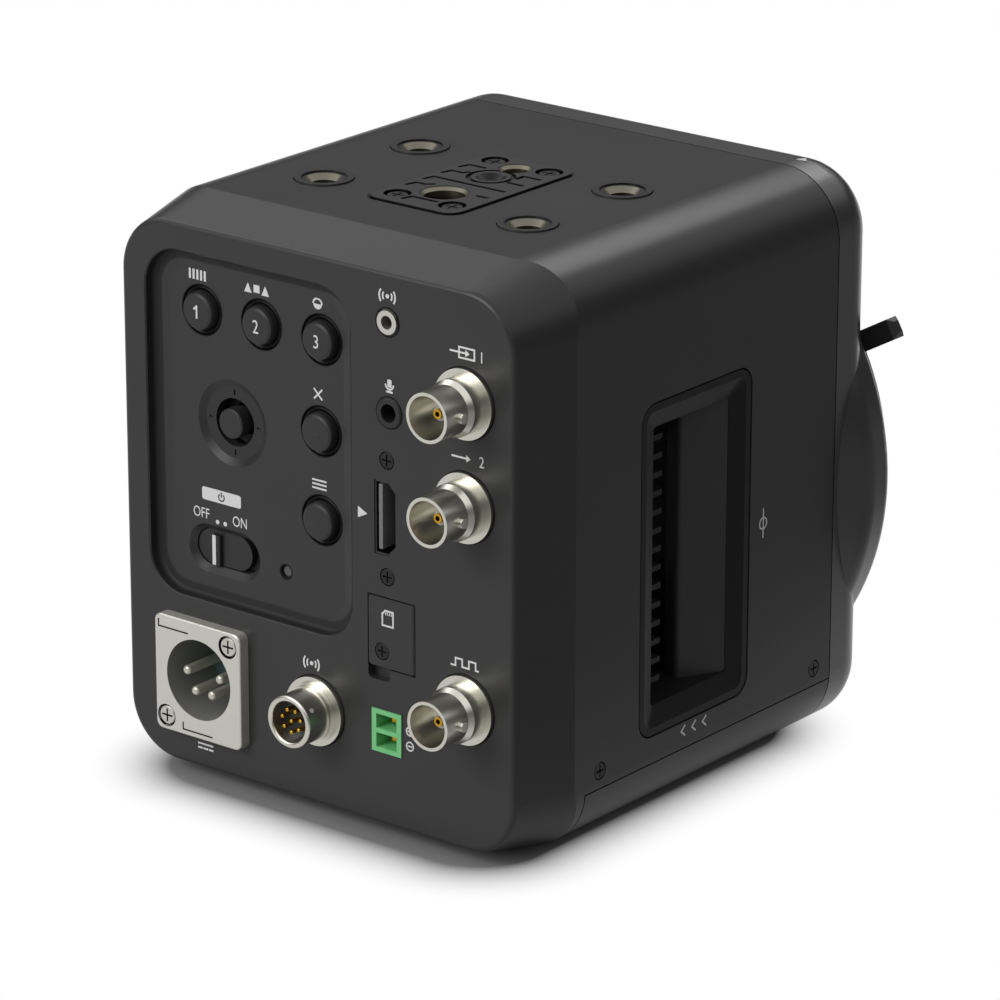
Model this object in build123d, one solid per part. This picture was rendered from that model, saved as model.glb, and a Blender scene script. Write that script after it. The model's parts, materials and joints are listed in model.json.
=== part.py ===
from build123d import *
import math
import os

# A box video camera, in millimetres.
# It is drawn with x = 0 on the middle plane, y = 0 on the rear panel, +Y towards the lens
# and z = 0 under the base. At export everything moves so that the origin is the mouth of
# the small tripod socket in the base.

# Casing
body_width = 102.6
body_height = 116.0
body_corner = 13.5
rear_side_step = 3.3
rear_top_step = 3.15
rear_bottom_step = 3.15
rear_panel_corner = 11.4
rear_taper_deg = 13.0
rear_edge_round = 1.2
front_seam_y = 96.5
front_face_y = 110.0
front_edge_round = 8.0
wall = 3.0
rear_wall = 5.6
front_wall = 3.2
seam_gap = 0.3
seam_depth = 0.5
base_cover_y = 17.5
base_cover_height = 12.5

# Optical parts
optical_z = 51.5
sensor_plane_y = 73.15
flange_distance = 44.0
throat_radius = 27.0
mount_sleeve_wall = 2.4
mount_sleeve_length = 11.0
mount_flange_radius = 37.0
mount_flange_thickness = 2.05
collar_wall = 6.1
bayonet_tab_reach = 1.4
bayonet_tab_thickness = 1.3
bayonet_tab_setback = 1.2
bayonet_tab_deg = 58.0
bayonet_tab_count = 3
mount_screw_count = 4
mount_screw_circle = 32.3
mount_screw_head = 1.5
surround_radius = 56.2
surround_start_y = 97.9
surround_full_y = 102.4
surround_front_y = 110.6
surround_edge_round = 3.0
surround_shoulder_round = 4.0
surround_draft = 0.3
lock_ring_radius = 50.0
lock_ring_front_y = 117.6
lock_ring_edge = 1.0
lock_lever_angle = 29.5
lock_lever_tip = 60.5
lock_lever_width = 4.3
lock_lever_thickness = 3.6
lock_lever_chamfer = 1.0
lock_lever_set_back = 0.2
lock_ring_face_gap = 0.1
running_gap = 0.05
moving_gap = 0.3
contact_block_width = 22.0
contact_block_height = 4.2
contact_block_length = 5.0
contact_pin_count = 8
contact_pin_pitch = 2.4
contact_pin_radius = 0.6
contact_pin_rise = 0.9
contact_pin_round = 0.35
baffle_thickness = 2.0
baffle_window_width = 38.0
baffle_window_height = 27.0
baffle_wall = 2.0
sensor_width = 46.0
sensor_height = 34.0
sensor_thickness = 3.0
sensor_rim = 2.4
glass_gap = 2.4
glass_thickness = 1.2
board_thickness = 1.6
sensor_board_width = 56.0
sensor_board_height = 50.0

# Inner frame, boards and cooling
frame_side_gap = 12.3
frame_height = 82.0
frame_thickness = 2.0
post_radius = 3.0
post_side_edge = 6.0
post_end_edge = 5.0
rear_board_y = 12.0
rear_board_side_gap = 7.3
rear_board_bottom = 8.0
rear_board_top_gap = 9.5
main_board_y = 45.0
main_board_side_gap = 13.3
main_board_height = 84.0
heat_sink_width = 40.0
heat_sink_height = 30.0
heat_sink_depth = 16.0
heat_sink_base = 3.0
fin_count = 9
fin_thickness = 1.2
fan_size = 28.0
fan_depth = 8.0
fan_y = 51.5
fan_bore = 13.2
fan_blade_gap = 0.5
fan_blade_count = 7
fan_hub_radius = 5.0
fan_shaft_radius = 1.0
fan_spoke_width = 2.0
fan_plate = 1.4
fan_blade_thickness = 0.8
fan_blade_tilt = 40.0
fan_blade_length_factor = 1.6
fan_spoke_count = 3

# Controls on the rear panel
recess_side_margin = 9.2
recess_right = 9.1
recess_bottom = 38.0
recess_top_margin = 8.6
recess_corner = 8.0
recess_depth = 2.8
recess_edge_chamfer = 0.25
recess_wall_depth = 2.2
recess_wall_draft = 0.25
recess_ramp_inset = 4.0
recess_ramp_round = 0.9
button_row_x = -15.1
button_pitch = 14.95
button_row_drop = 11.7
button_column_x = -0.5
cancel_drop = 18.1
menu_drop = 17.7
button_hole_radius = 4.95
button_side_gap = 0.2
button_cap_radius = 3.75
button_flange = 1.2
button_dip = 0.35
button_rise = 1.6
button_cap_round = 0.7
button_stem_radius = 2.5
button_clip_radius = 3.2
button_clip_thickness = 0.8
button_travel = 0.8
button_crown = 0.15
button_cap_draft = 0.1
button_flange_round = 0.25
stick_x = -22.8
stick_drop = 21.2
bezel_radius = 8.65
bezel_dish_radius = 7.25
bezel_dish_depth = 0.8
bezel_hole_radius = 4.8
bezel_flange_radius = 9.8
bezel_flange_thickness = 1.0
bezel_sleeve_radius = 7.6
bezel_sleeve_bore = 5.9
bezel_tick_width = 0.45
bezel_tick_length = 1.1
bezel_tick_depth = 0.25
stick_pivot_y = 8.6
stick_cap_radius = 3.0
stick_cap_front_y = 2.2
stick_cap_length = 3.3
stick_cap_round = 0.4
stick_stem_radius = 1.3
stick_travel = 0.5
stick_clearance = 0.2
yoke_radius = 2.3
yoke_half_length = 1.7
gimbal_outer = 5.1
gimbal_inner = 3.3
gimbal_half_thickness = 1.2
pivot_pin_radius = 0.6
pivot_pin_reach = 1.1
switch_x = -25.3
switch_z = 47.8
switch_recess_length = 18.2
switch_recess_height = 9.9
switch_slot_length = 16.0
switch_slot_height = 7.3
switch_recess_depth = 1.1
slider_travel = 2.0
slider_gap = 0.15
slider_back_overlap = 1.0
slider_back_thickness = 1.0
slider_rib_x = -28.0
slider_rib_width = 1.9
slider_rib_rise = 0.9
slider_rib_height = 6.2
slider_rib_drop = 0.3
slider_rib_round = 0.35
slider_set_back = 0.3
light_x = -9.7
light_z = 47.4
light_radius = 1.35
light_set_back = 0.5
light_round = 0.65

# Connectors on the rear panel
coax_side_margin = 14.76
coax_top_drop = 24.5
coax_pitch = 20.07
coax_low_z = 31.55
coax_flange_radius = 6.8
coax_flange_thickness = 0.8
coax_base_radius = 5.5
coax_base_length = 5.0
coax_shoulder = 1.0
coax_barrel_radius = 4.8
coax_length = 11.1
coax_bore_radius = 4.15
coax_bore_floor = 1.6
coax_lug_radius = 1.0
coax_lug_reach = 5.7
coax_lug_y = -7.1
coax_insulator_radius = 1.45
coax_insulator_tip = 7.2
coax_contact_radius = 0.95
coax_contact_bore = 0.5
coax_contact_tip = 8.0
small_jack_x = 18.2
small_jack_drop = 12.6
small_jack_radius = 2.65
small_jack_bore = 1.3
audio_jack_x = 18.5
audio_jack_z = 85.9
audio_jack_radius = 2.95
audio_jack_bore = 1.8
jack_rise = 0.35
jack_chamfer = 0.25
jack_bore_depth = 9.0
video_port_x = 17.4
video_port_z = 64.95
video_port_width = 5.4
video_port_height = 14.7
video_port_cut = 1.7
video_port_wall = 0.4
video_port_set_back = 0.2
video_port_back = 1.0
tongue_thickness = 0.9
tongue_height = 12.8
tongue_set_back = 0.5
tongue_side_step = 1.5
port_screw_offset = 11.5
port_screw_side_step = 0.4
small_screw_head = 1.75
small_screw_head_height = 1.0
small_screw_shank = 0.9
side_screw_z = 16.0
side_screw_ys = (22.1, 91.2)
lug_half_length = 4.0
lug_thickness = 2.5
lug_top = 20.5
card_left = 13.0
card_right = 24.5
card_bottom = 35.0
card_top = 49.3
card_corner = 1.0
card_pocket_depth = 1.9
card_door_thickness = 1.6
card_door_gap = 0.15
card_hinge_radius = 0.85
card_pin_radius = 0.4
card_pin_reach = 0.8
card_notch_width = 5.3
card_notch_height = 2.6
card_screw_x = 16.4
card_screw_z = 38.3
card_screw_head = 1.7
card_screw_head_height = 0.8
card_screw_shank = 0.8
card_screw_tip = 0.9
card_screw_hole = 1.6
card_slot_x = 20.6
card_slot_width = 1.5
card_slot_height = 11.6
card_socket_wall = 1.2
terminal_x = 17.6
terminal_z = 22.25
terminal_width = 7.2
terminal_height = 8.6
terminal_pitch = 3.81
terminal_rise = 0.3
terminal_pocket_width = 5.0
terminal_pocket_height = 2.9
terminal_pocket_depth = 7.0
terminal_pin = 0.5
terminal_pin_front = 2.0
control_x = 0.0
control_z = 22.4
control_flange_radius = 6.9
control_flange_thickness = 1.0
control_ring_radius = 5.95
control_ring_length = 1.8
control_step_radius = 5.55
control_step_length = 2.8
control_barrel_radius = 5.25
control_length = 8.3
control_bore_radius = 4.1
control_body_radius = 5.6
control_insert_front = 5.6
control_key_width = 1.6
control_key_height = 0.9
control_key_front = 7.2
control_rim_round = 0.45
control_pin_count = 7
control_pin_circle = 2.3
control_pin_radius = 0.4
control_pin_rise = 1.9
control_pin_round = 0.2
inlet_left = -39.15
inlet_right = -17.2
inlet_bottom = 10.1
inlet_top = 34.0
inlet_corner = 1.6
inlet_thickness = 2.5
inlet_x = -27.9
inlet_z = 22.4
inlet_bore_radius = 8.2
inlet_shell_wall = 1.0
inlet_insert_y = 10.8
inlet_pin_radius = 0.95
inlet_pin_front_y = -1.5
inlet_pin_round = 0.65
inlet_pins = ((-4.2, 0.7), (4.2, 0.7), (-2.1, -3.1), (2.1, -3.1))
inlet_edge_round = 0.4
inlet_screws = ((-20.3, 31.0), (-36.4, 13.1))
inlet_screw_head = 2.1
inlet_screw_seat_gap = 0.2
inlet_screw_head_height = 1.4
inlet_screw_set_back = 0.15
inlet_screw_shank = 1.3
inlet_mark_width = 0.35
inlet_mark_depth = 0.3
inlet_mark_length = 7.8
inlet_mark_height = 1.7
inlet_marks = ((-38.25, 31.25), (-32.3, 11.1))

# Air openings in the sides
vent_rear_y = 34.0
vent_front_y = 68.9
vent_bottom = 17.8
vent_top = 85.0
vent_corner = 4.0
vent_gap = 0.35
vent_border = 5.6
vent_dish = 1.5
vent_depth = 11.0
vent_mouth_corner = 0.8
vent_set_back = 0.1
vent_lip = 1.2
slot_length = 6.1
slat_count = 14
slat_pitch = 3.75
slat_thickness = 1.1
slat_set_back = 4.0
slat_spine = 0.8
deflector_thickness = 1.4
deflector_shallow = 1.6
deflector_bend_depth = 6.7
deflector_bend_y = 54.4
deflector_bend_round = 1.2
deflector_bend_inside = (0.5, 1.55)
deflector_tail_y = 56.6
outlet_bar_count = 12
outlet_bar_thickness = 1.6
outlet_bar_tilt = 30.0
outlet_depth = 4.0

# Plates and bushings for mounting, the same on the top and in the base
plate_half_width = 11.1
plate_rear_y = 27.7
plate_front_y = 66.2
plate_corner = 3.3
plate_thickness = 1.6
plate_gap = 0.3
plate_rise = 0.3
pocket_lip = 0.45
socket_boss_radius = 6.4
socket_floor = 1.2
socket_mouth_chamfer = 0.8
big_socket_y = 38.8
big_socket_radius = 4.1
big_socket_depth = 8.3
small_socket_y = 60.5
small_socket_radius = 2.6
small_socket_depth = 6.8
plate_dish_y = 52.9
plate_dish_radius = 3.05
plate_dish_depth = 1.1
plate_dish_taper = 50.0
plate_dish_ring = 4.4
plate_screw_x = 6.7
plate_screw_ys = (32.9, 62.5)
plate_screw_seat = 2.75
plate_screw_head = 2.2
plate_screw_head_height = 0.9
plate_screw_shank = 1.1
groove_width = 1.0
groove_depth = 0.5
groove_end_x = 8.6
groove_hook = (0.6, 2.2)
groove_rows = (57.0, 51.7, 46.2, 40.9)
bushing_x = 25.0
bushing_ys = (32.8, 61.8)
bushing_radius = 5.8
bushing_seat_gap = 0.15
bushing_rise = 0.3
bushing_ring_bore = 4.4
bushing_body_radius = 5.0
bushing_length = 9.5
bushing_bore = 2.6
bushing_chamfer = 1.1

# Screws
screw_edge_factor = 0.25
cross_length_factor = 1.3
cross_width_factor = 0.19
cross_depth_factor = 0.6

# Worked out from the sizes above
flange_y = sensor_plane_y + flange_distance
origin_y = small_socket_y
collar_bore = throat_radius + mount_sleeve_wall
collar_radius = collar_bore + collar_wall
collar_front_y = flange_y - mount_flange_thickness
sleeve_rear_y = flange_y - mount_sleeve_length
recess_y = recess_depth
rear_panel_width = body_width - 2 * rear_side_step
rear_panel_top = body_height - rear_top_step
frame_width = body_width - 2 * frame_side_gap
main_board_width = body_width - 2 * main_board_side_gap
rear_board_width = body_width - 2 * rear_board_side_gap
rear_board_top = body_height - rear_board_top_gap
recess_left = recess_side_margin - body_width / 2
recess_top = body_height - recess_top_margin
button_row_z = recess_top - button_row_drop
cancel_z = button_row_z - cancel_drop
menu_z = cancel_z - menu_drop
stick_z = button_row_z - stick_drop
small_jack_z = body_height - small_jack_drop
coax_x = body_width / 2 - coax_side_margin
coax_high_z = body_height - coax_top_drop
coax_heights = (coax_high_z, coax_high_z - coax_pitch, coax_low_z)
vent_middle_y = (vent_rear_y + vent_front_y) / 2
slot_rear_y = vent_rear_y + vent_border
slot_front_y = slot_rear_y + slot_length
mouth_bottom = vent_bottom + vent_border
mouth_top = vent_top - vent_border
frame_front_y = sensor_plane_y - sensor_thickness - board_thickness
frame_rear_y = frame_front_y - frame_thickness


def rear_view(y):
    """Plane at y seen from behind the camera: local x is X and local y is Z."""
    return Plane(origin=(0, y, 0), x_dir=(1, 0, 0), z_dir=(0, -1, 0))


def side_view(x):
    """Plane at x seen from the right side: local x is Y and local y is Z."""
    return Plane(origin=(x, 0, 0), x_dir=(0, 1, 0), z_dir=(1, 0, 0))


def along_y(outline, rear, front):
    """Outline drawn in X and Z, thick from rear to front."""
    return extrude(rear_view(front) * outline, amount=front - rear)


def along_x(outline, low, high):
    """Outline drawn in Y and Z, thick from low to high."""
    return extrude(side_view(low) * outline, amount=high - low)


def along_z(outline, low, high):
    """Outline drawn in X and Y, thick from low to high."""
    return extrude(Pos(0, 0, low) * outline, amount=high - low)


def rod_y(x, z, radius, rear, front):
    """Round bar along Y."""
    return along_y(Pos(x, z) * Circle(radius), rear, front)


def tube_y(x, z, radius, bore, rear, front):
    """Round tube along Y."""
    return along_y(Pos(x, z) * (Circle(radius) - Circle(bore)), rear, front)


def turned_y(x, z, points):
    """Solid of revolution about a line along Y, from (radius, y) points."""
    profile = make_face(Polyline(*points, close=True))
    return Pos(x, 0, z) * revolve(profile, axis=Axis.Y)


def box(x_range, y_range, z_range):
    """Box from three (low, high) pairs."""
    size = [pair[1] - pair[0] for pair in (x_range, y_range, z_range)]
    middle = [(pair[1] + pair[0]) / 2 for pair in (x_range, y_range, z_range)]
    return Pos(*middle) * Box(*size)


def rounded(left, right, low, high, radius):
    """Rectangle with rounded corners from its four sides."""
    return Pos((left + right) / 2, (low + high) / 2) * RectangleRounded(right - left, high - low, radius)


def body_outline(inset=0.0):
    """Cross-section of the casing, drawn in X and Z."""
    half = body_width / 2 - inset
    return rounded(-half, half, inset, body_height - inset, body_corner - inset)


def rear_outline(inset=0.0):
    """Outline of the rear panel, drawn in X and Z."""
    half = rear_panel_width / 2 - inset
    low = rear_bottom_step + inset
    return rounded(-half, half, low, rear_panel_top - inset, rear_panel_corner - inset)


def tapered(inset, rear, front, edge_round=0.0):
    """The casing's body: it widens from the rear panel's outline to the full section."""
    wide = along_y(body_outline(inset), rear, front)
    spread = extrude(rear_view(rear) * rear_outline(inset), amount=rear - front, taper=-rear_taper_deg)
    if edge_round:
        spread = fillet(spread.faces().sort_by(Axis.Y)[0].outer_wire().edges(), edge_round)
    return wide & spread


def seam_ring(y):
    """Shallow groove round the casing, just in front of y."""
    return along_y(body_outline(), y, y + seam_gap) - along_y(body_outline(seam_depth), y, y + seam_gap)


def cross_recess(radius, depth):
    """Cross for a screwdriver, cut down from z = 0."""
    blade = Box(radius * cross_length_factor, radius * cross_width_factor, depth * 2)
    return blade + Rot(0, 0, 90) * blade


def screw(head_radius, head_height, shank_radius, shank_length):
    """Screw along Z with its head's face at z = 0."""
    head = Pos(0, 0, -head_height / 2) * Cylinder(head_radius, head_height)
    head = chamfer(head.edges().group_by(Axis.Z)[-1], head_height * screw_edge_factor)
    shank = Pos(0, 0, -head_height - shank_length / 2) * Cylinder(shank_radius, shank_length)
    return head + shank - cross_recess(head_radius, head_height * cross_depth_factor)


def rear_screw(x, z, y, head_radius, head_height, shank_radius, shank_length):
    """Screw whose head faces the rear, with its face at y."""
    place = Plane(origin=(x, y, z), x_dir=(1, 0, 0), z_dir=(0, -1, 0))
    return place * screw(head_radius, head_height, shank_radius, shank_length)


def side_screw(side, y):
    """Screw in a side wall: side is +1 on the right and -1 on the left."""
    place = Plane(origin=(side * body_width / 2, y, side_screw_z), x_dir=(0, 1, 0), z_dir=(side, 0, 0))
    return place * screw(small_screw_head, small_screw_head_height, small_screw_shank, screw_grip())


def screw_grip():
    """Length of a side screw's shank: the rest of the wall and the lug behind it."""
    return wall - small_screw_head_height + lug_thickness


def upside_down(shape):
    """The same piece in the base instead of the top."""
    return mirror(shape, about=Plane.XY.offset(body_height / 2))


def socket_places():
    """Tripod sockets as (y, bore radius, depth)."""
    return (
        (big_socket_y, big_socket_radius, big_socket_depth),
        (small_socket_y, small_socket_radius, small_socket_depth),
    )


def screw_clearance(x, z, head_radius, head_height, shank_radius, y):
    """Counterbore and hole for a screw whose head faces the rear, with its face at y."""
    seat = rod_y(x, z, head_radius, y - rear_wall, y + head_height)
    return seat + rod_y(x, z, shank_radius, y, y + 3 * rear_wall)


def plate_pocket(inset=0.0):
    """Outline of a mount plate's pocket, drawn in X and Y."""
    half = plate_half_width - inset
    return rounded(-half, half, plate_rear_y + inset, plate_front_y - inset, plate_corner - inset)


def top_cutouts():
    """Pocket, socket holes, screw holes and bushing seats in the top wall."""
    floor = body_height - plate_thickness
    cut = along_z(plate_pocket(), floor, body_height + wall)
    cut += extrude(Pos(0, 0, body_height) * plate_pocket(-pocket_lip), amount=-pocket_lip, taper=45)
    for y, _, _ in socket_places():
        cut += along_z(Pos(0, y) * Circle(socket_boss_radius), body_height - 2 * wall, floor)
    for x, y in plate_screw_places():
        cut += along_z(Pos(x, y) * Circle(plate_screw_shank), body_height - 2 * wall, floor)
    for x, y in bushing_places():
        seat = Circle(bushing_radius + bushing_seat_gap)
        cut += along_z(Pos(x, y) * seat, floor, body_height + wall)
        cut += along_z(Pos(x, y) * Circle(bushing_body_radius), body_height - 2 * wall, floor)
    return cut


def plate_screw_places():
    """The screws of a mount plate as (x, y)."""
    return [(x, y) for x in (-plate_screw_x, plate_screw_x) for y in plate_screw_ys]


def bushing_places():
    """The four bushings of one side as (x, y)."""
    return [(x, y) for x in (-bushing_x, bushing_x) for y in bushing_ys]


def vent_cutouts():
    """Holes for the air intake and the air outlet in the two side walls."""
    half = body_width / 2
    right = along_x(vent_outline(0), half - 2 * wall, half + wall)
    return right + mirror(right, about=Plane.YZ)


def side_screw_cutouts():
    """Seats and holes for the four side screws."""
    cut = None
    for side in (-1, 1):
        for y in side_screw_ys:
            place = Plane(origin=(side * body_width / 2, y, side_screw_z), z_dir=(side, 0, 0))
            seat = Pos(0, 0, -small_screw_head_height / 2)
            hole = seat * Cylinder(small_screw_head + running_gap, small_screw_head_height)
            hole += Cylinder(small_screw_shank, 4 * wall)
            cut = place * hole if cut is None else cut + place * hole
    return cut


def button_places():
    """Every push button as (name, x, z)."""
    places = [(f"button_{n + 1}", button_row_x + (n - 1) * button_pitch, button_row_z) for n in range(3)]
    places.append(("cancel_button", button_column_x, cancel_z))
    places.append(("menu_button", button_column_x, menu_z))
    return places


def stadium(length, height):
    """Slot outline with round ends about the power switch's centre."""
    return Pos(switch_x, switch_z) * SlotOverall(length, height)


def control_cutouts():
    """Recess for the controls and what passes through its floor."""
    cut = control_recess()
    web = rear_wall - button_web()
    for _, x, z in button_places():
        cut += rod_y(x, z, button_hole_radius, recess_y - seam_depth, web)
        cut += rod_y(x, z, button_stem_radius + running_gap, web, rear_wall + wall)
    cut += rod_y(stick_x, stick_z, bezel_radius, recess_y - seam_depth, rear_wall + wall)
    soft = rear_view(recess_y) * stadium(switch_recess_length, switch_recess_height)
    inner = rear_view(recess_y + switch_recess_depth) * stadium(switch_slot_length, switch_slot_height)
    cut += loft([soft.faces()[0], inner.faces()[0]], ruled=True)
    cut += along_y(stadium(switch_slot_length, switch_slot_height), recess_y, rear_wall + wall)
    cut += rod_y(light_x, light_z, light_radius, 0, rear_wall + wall)
    return cut


def recess_outline(inset):
    """Outline of the control recess, drawn in X and Z."""
    return rounded(recess_left + inset, recess_right - inset, recess_bottom + inset, recess_top - inset,
                   recess_corner - inset)


def control_recess():
    """Space of the control recess: a steep wall, then a shallow ramp down to the floor."""
    steps = (
        (0, -recess_edge_chamfer),
        (recess_edge_chamfer, 0),
        (recess_wall_depth, recess_wall_draft),
        (recess_y, recess_ramp_inset),
    )
    faces = [(rear_view(y) * recess_outline(inset)).faces()[0] for y, inset in steps]
    space = loft(faces, ruled=True)
    foot = space.edges().filter_by_position(Axis.Y, recess_wall_depth, recess_wall_depth)
    space = fillet(foot, recess_ramp_round)
    return space + along_y(recess_outline(-recess_edge_chamfer), -wall, 0)


def button_web():
    """Thickness left behind a button's hole, which guides its stem."""
    return rear_wall - recess_y - button_flange - button_travel - running_gap


def video_port_outline(inset=0.0):
    """Port outline: straight on the left, with both right corners cut off."""
    half_w = video_port_width / 2 - inset
    half_h = video_port_height / 2 - inset
    cut = video_port_cut
    points = [
        (-half_w, -half_h),
        (half_w - cut, -half_h),
        (half_w, cut - half_h),
        (half_w, half_h - cut),
        (half_w - cut, half_h),
        (-half_w, half_h),
    ]
    return Pos(video_port_x, video_port_z) * make_face(Polyline(*points, close=True))


def port_screw_places():
    """The two screws beside the video port as (x, z)."""
    x = video_port_x + port_screw_side_step
    return [(x, video_port_z + side * port_screw_offset) for side in (-1, 1)]


def card_hinge_x():
    """Distance of the card door's hinge line from the middle plane."""
    return card_right - card_door_gap - card_hinge_radius


def card_cutouts():
    """Pocket, finger notch, hinge holes, screw hole and card slot for the card door."""
    pocket = rounded(card_left, card_right, card_bottom, card_top, card_corner)
    cut = along_y(pocket, -wall, card_pocket_depth)
    hinge_side = (card_hinge_x() - card_hinge_radius, card_right)
    cut += box(hinge_side, (-wall, card_pocket_depth), (card_bottom, card_top))
    notch = rounded(card_left, card_left + card_notch_width, card_bottom - card_notch_height,
                    card_bottom + card_corner, card_corner)
    cut += along_y(notch, -wall, card_pocket_depth)
    reach = card_door_gap + card_pin_reach + running_gap
    hinge = Pos(card_hinge_x(), card_hinge_radius) * Circle(card_pin_radius + running_gap)
    cut += along_z(hinge, card_bottom - reach, card_top + reach)
    cut += rod_y(card_screw_x, card_screw_z, card_screw_hole, 0, card_pocket_depth + card_screw_tip)
    return cut + along_y(card_slot_outline(), 0, rear_wall + wall)


def card_slot_outline():
    """Upright slot that takes the memory card."""
    middle = (card_bottom + card_top) / 2
    return Pos(card_slot_x, middle) * Rectangle(card_slot_width, card_slot_height)


def connector_cutouts():
    """Holes in the rear wall for every connector and its screws."""
    deep = rear_wall + wall
    cut = rod_y(small_jack_x, small_jack_z, small_jack_radius, -wall, deep)
    cut += rod_y(audio_jack_x, audio_jack_z, audio_jack_radius, -wall, deep)
    cut += rod_y(control_x, control_z, control_body_radius, -wall, deep)
    cut += rod_y(inlet_x, inlet_z, inlet_bore_radius + inlet_shell_wall, -wall, deep)
    for z in coax_heights:
        cut += rod_y(coax_x, z, coax_base_radius, -wall, deep)
    cut += along_y(video_port_outline(), -wall, deep)
    cut += along_y(terminal_outline(), -wall, deep)
    head = small_screw_head + running_gap
    for x, z in port_screw_places():
        cut += screw_clearance(x, z, head, small_screw_head_height, small_screw_shank, 0)
    for x, z in inlet_screws:
        cut += rod_y(x, z, inlet_screw_shank, -wall, deep)
    return cut


def terminal_outline():
    """Outline of the terminal block, drawn in X and Z."""
    return Pos(terminal_x, terminal_z) * Rectangle(terminal_width, terminal_height)


def base_region():
    """Block of space that belongs to the base cover."""
    half = body_width
    return box((-half, half), (base_cover_y, front_seam_y), (-wall, base_cover_height))


def inside(rear, front):
    """Hollow of the casing."""
    return tapered(wall, rear, front)


def main_casing():
    """Rear panel, top and sides in one casting, open at the front and below."""
    outer = tapered(0, 0, front_seam_y, rear_edge_round)
    shell = outer - inside(rear_wall, front_seam_y + wall) - base_region()
    shell -= control_cutouts()
    shell -= connector_cutouts()
    shell -= card_cutouts()
    shell -= top_cutouts()
    shell -= vent_cutouts()
    return shell - side_screw_cutouts()


def base_cover():
    """Tray under the camera, with four lugs that the side screws hold."""
    outer = along_y(body_outline(), base_cover_y, front_seam_y) & base_region()
    tray = outer - inside(rear_wall, front_seam_y + wall)
    half = body_width / 2 - wall
    groove_z = (base_cover_height - seam_gap, base_cover_height)
    for side in (-1, 1):
        for y in side_screw_ys:
            lug_length = (y - lug_half_length, y + lug_half_length)
            lug = box((half - lug_thickness, half), lug_length, (wall, lug_top))
            lug = lug & inside(rear_wall, front_seam_y)
            tray += lug if side > 0 else mirror(lug, about=Plane.YZ)
        edge = body_width / 2 - seam_depth
        groove = box((edge, body_width), (base_cover_y, front_seam_y), groove_z)
        tray -= groove if side > 0 else mirror(groove, about=Plane.YZ)
    tray -= seam_ring(base_cover_y)
    for side in (-1, 1):
        for y in side_screw_ys:
            hole = along_x(Pos(y, side_screw_z) * Circle(small_screw_shank), half - 2 * lug_thickness, half)
            tray -= hole if side > 0 else mirror(hole, about=Plane.YZ)
    return tray - upside_down(top_cutouts())


def front_surround():
    """Round surround of the lens mount, flared past the sides of the body."""
    root = surround_radius - body_corner
    points = [
        (root, surround_start_y),
        (body_width / 2, surround_start_y),
        (surround_radius, surround_full_y),
        (surround_radius - surround_draft, surround_front_y),
        (root, surround_front_y),
    ]
    profile = make_face(Polyline(*points, close=True))
    front = profile.vertices().group_by(Axis.Y)[-1].sort_by(Axis.X)[-1]
    profile = fillet(front, surround_edge_round)
    shoulder = profile.vertices().sort_by_distance((surround_radius, surround_full_y))[0]
    profile = fillet(shoulder, surround_shoulder_round)
    ring = Pos(0, 0, optical_z) * revolve(profile, axis=Axis.Y)
    above_ground = box((-body_width, body_width), (0, 2 * front_face_y), (0, 2 * body_height))
    return ring & above_ground


def front_cover():
    """Front casting with the round surround and the collar that carries the lock ring."""
    block = along_y(body_outline(), front_seam_y, front_face_y)
    edge = block.faces().sort_by(Axis.Y)[-1].outer_wire().edges()
    block = fillet(edge, front_edge_round)
    block -= along_y(body_outline(wall), front_seam_y - wall, front_face_y - front_wall)
    block -= seam_ring(front_seam_y)
    cover = block + (front_surround() - along_y(body_outline(wall), front_seam_y, front_face_y - front_wall))
    pocket = lock_ring_radius + 2 * moving_gap
    cover -= rod_y(0, optical_z, pocket, front_face_y, 2 * front_face_y)
    cover += rod_y(0, optical_z, collar_radius, baffle_rear_y(), collar_front_y)
    cover -= rod_y(0, optical_z, collar_bore, baffle_rear_y(), 2 * front_face_y)
    return cover - mount_screw_shanks()


def baffle_rear_y():
    """Rear face of the light baffle's disc, behind the mount's sleeve."""
    return sleeve_rear_y - baffle_thickness


def mount_screw_places():
    """The lens mount's screws as (x, z)."""
    step = 360 / mount_screw_count
    angles = [math.radians(step / 2 + n * step) for n in range(mount_screw_count)]
    return [(mount_screw_circle * math.cos(a), optical_z + mount_screw_circle * math.sin(a)) for a in angles]


def mount_screw_shanks():
    """Holes in the collar for the lens mount's screws."""
    cut = None
    for x, z in mount_screw_places():
        hole = rod_y(x, z, small_screw_shank, collar_front_y - mount_screw_length(), collar_front_y)
        cut = hole if cut is None else cut + hole
    return cut


def mount_screw_length():
    """How far a lens mount screw goes into the collar."""
    return 2 * mount_flange_thickness


def lens_mount_ring():
    """Flange ring for the lens, its sleeve and the bayonet tabs inside it."""
    ring = tube_y(0, optical_z, mount_flange_radius, throat_radius, collar_front_y, flange_y)
    ring += tube_y(0, optical_z, collar_bore, throat_radius, sleeve_rear_y, collar_front_y)
    front = flange_y - bayonet_tab_setback
    arc = tube_y(0, optical_z, throat_radius + mount_sleeve_wall / 2, throat_radius - bayonet_tab_reach,
                 front - bayonet_tab_thickness, front)
    for n in range(bayonet_tab_count):
        middle = 90 + n * 360 / bayonet_tab_count
        ring += arc & wedge(middle, bayonet_tab_deg)
    head_rear_y = flange_y - mount_screw_head_height()
    for x, z in mount_screw_places():
        ring -= rod_y(x, z, mount_screw_head + running_gap, head_rear_y, 2 * flange_y)
        ring -= rod_y(x, z, small_screw_shank, 0, flange_y)
    return ring


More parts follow.
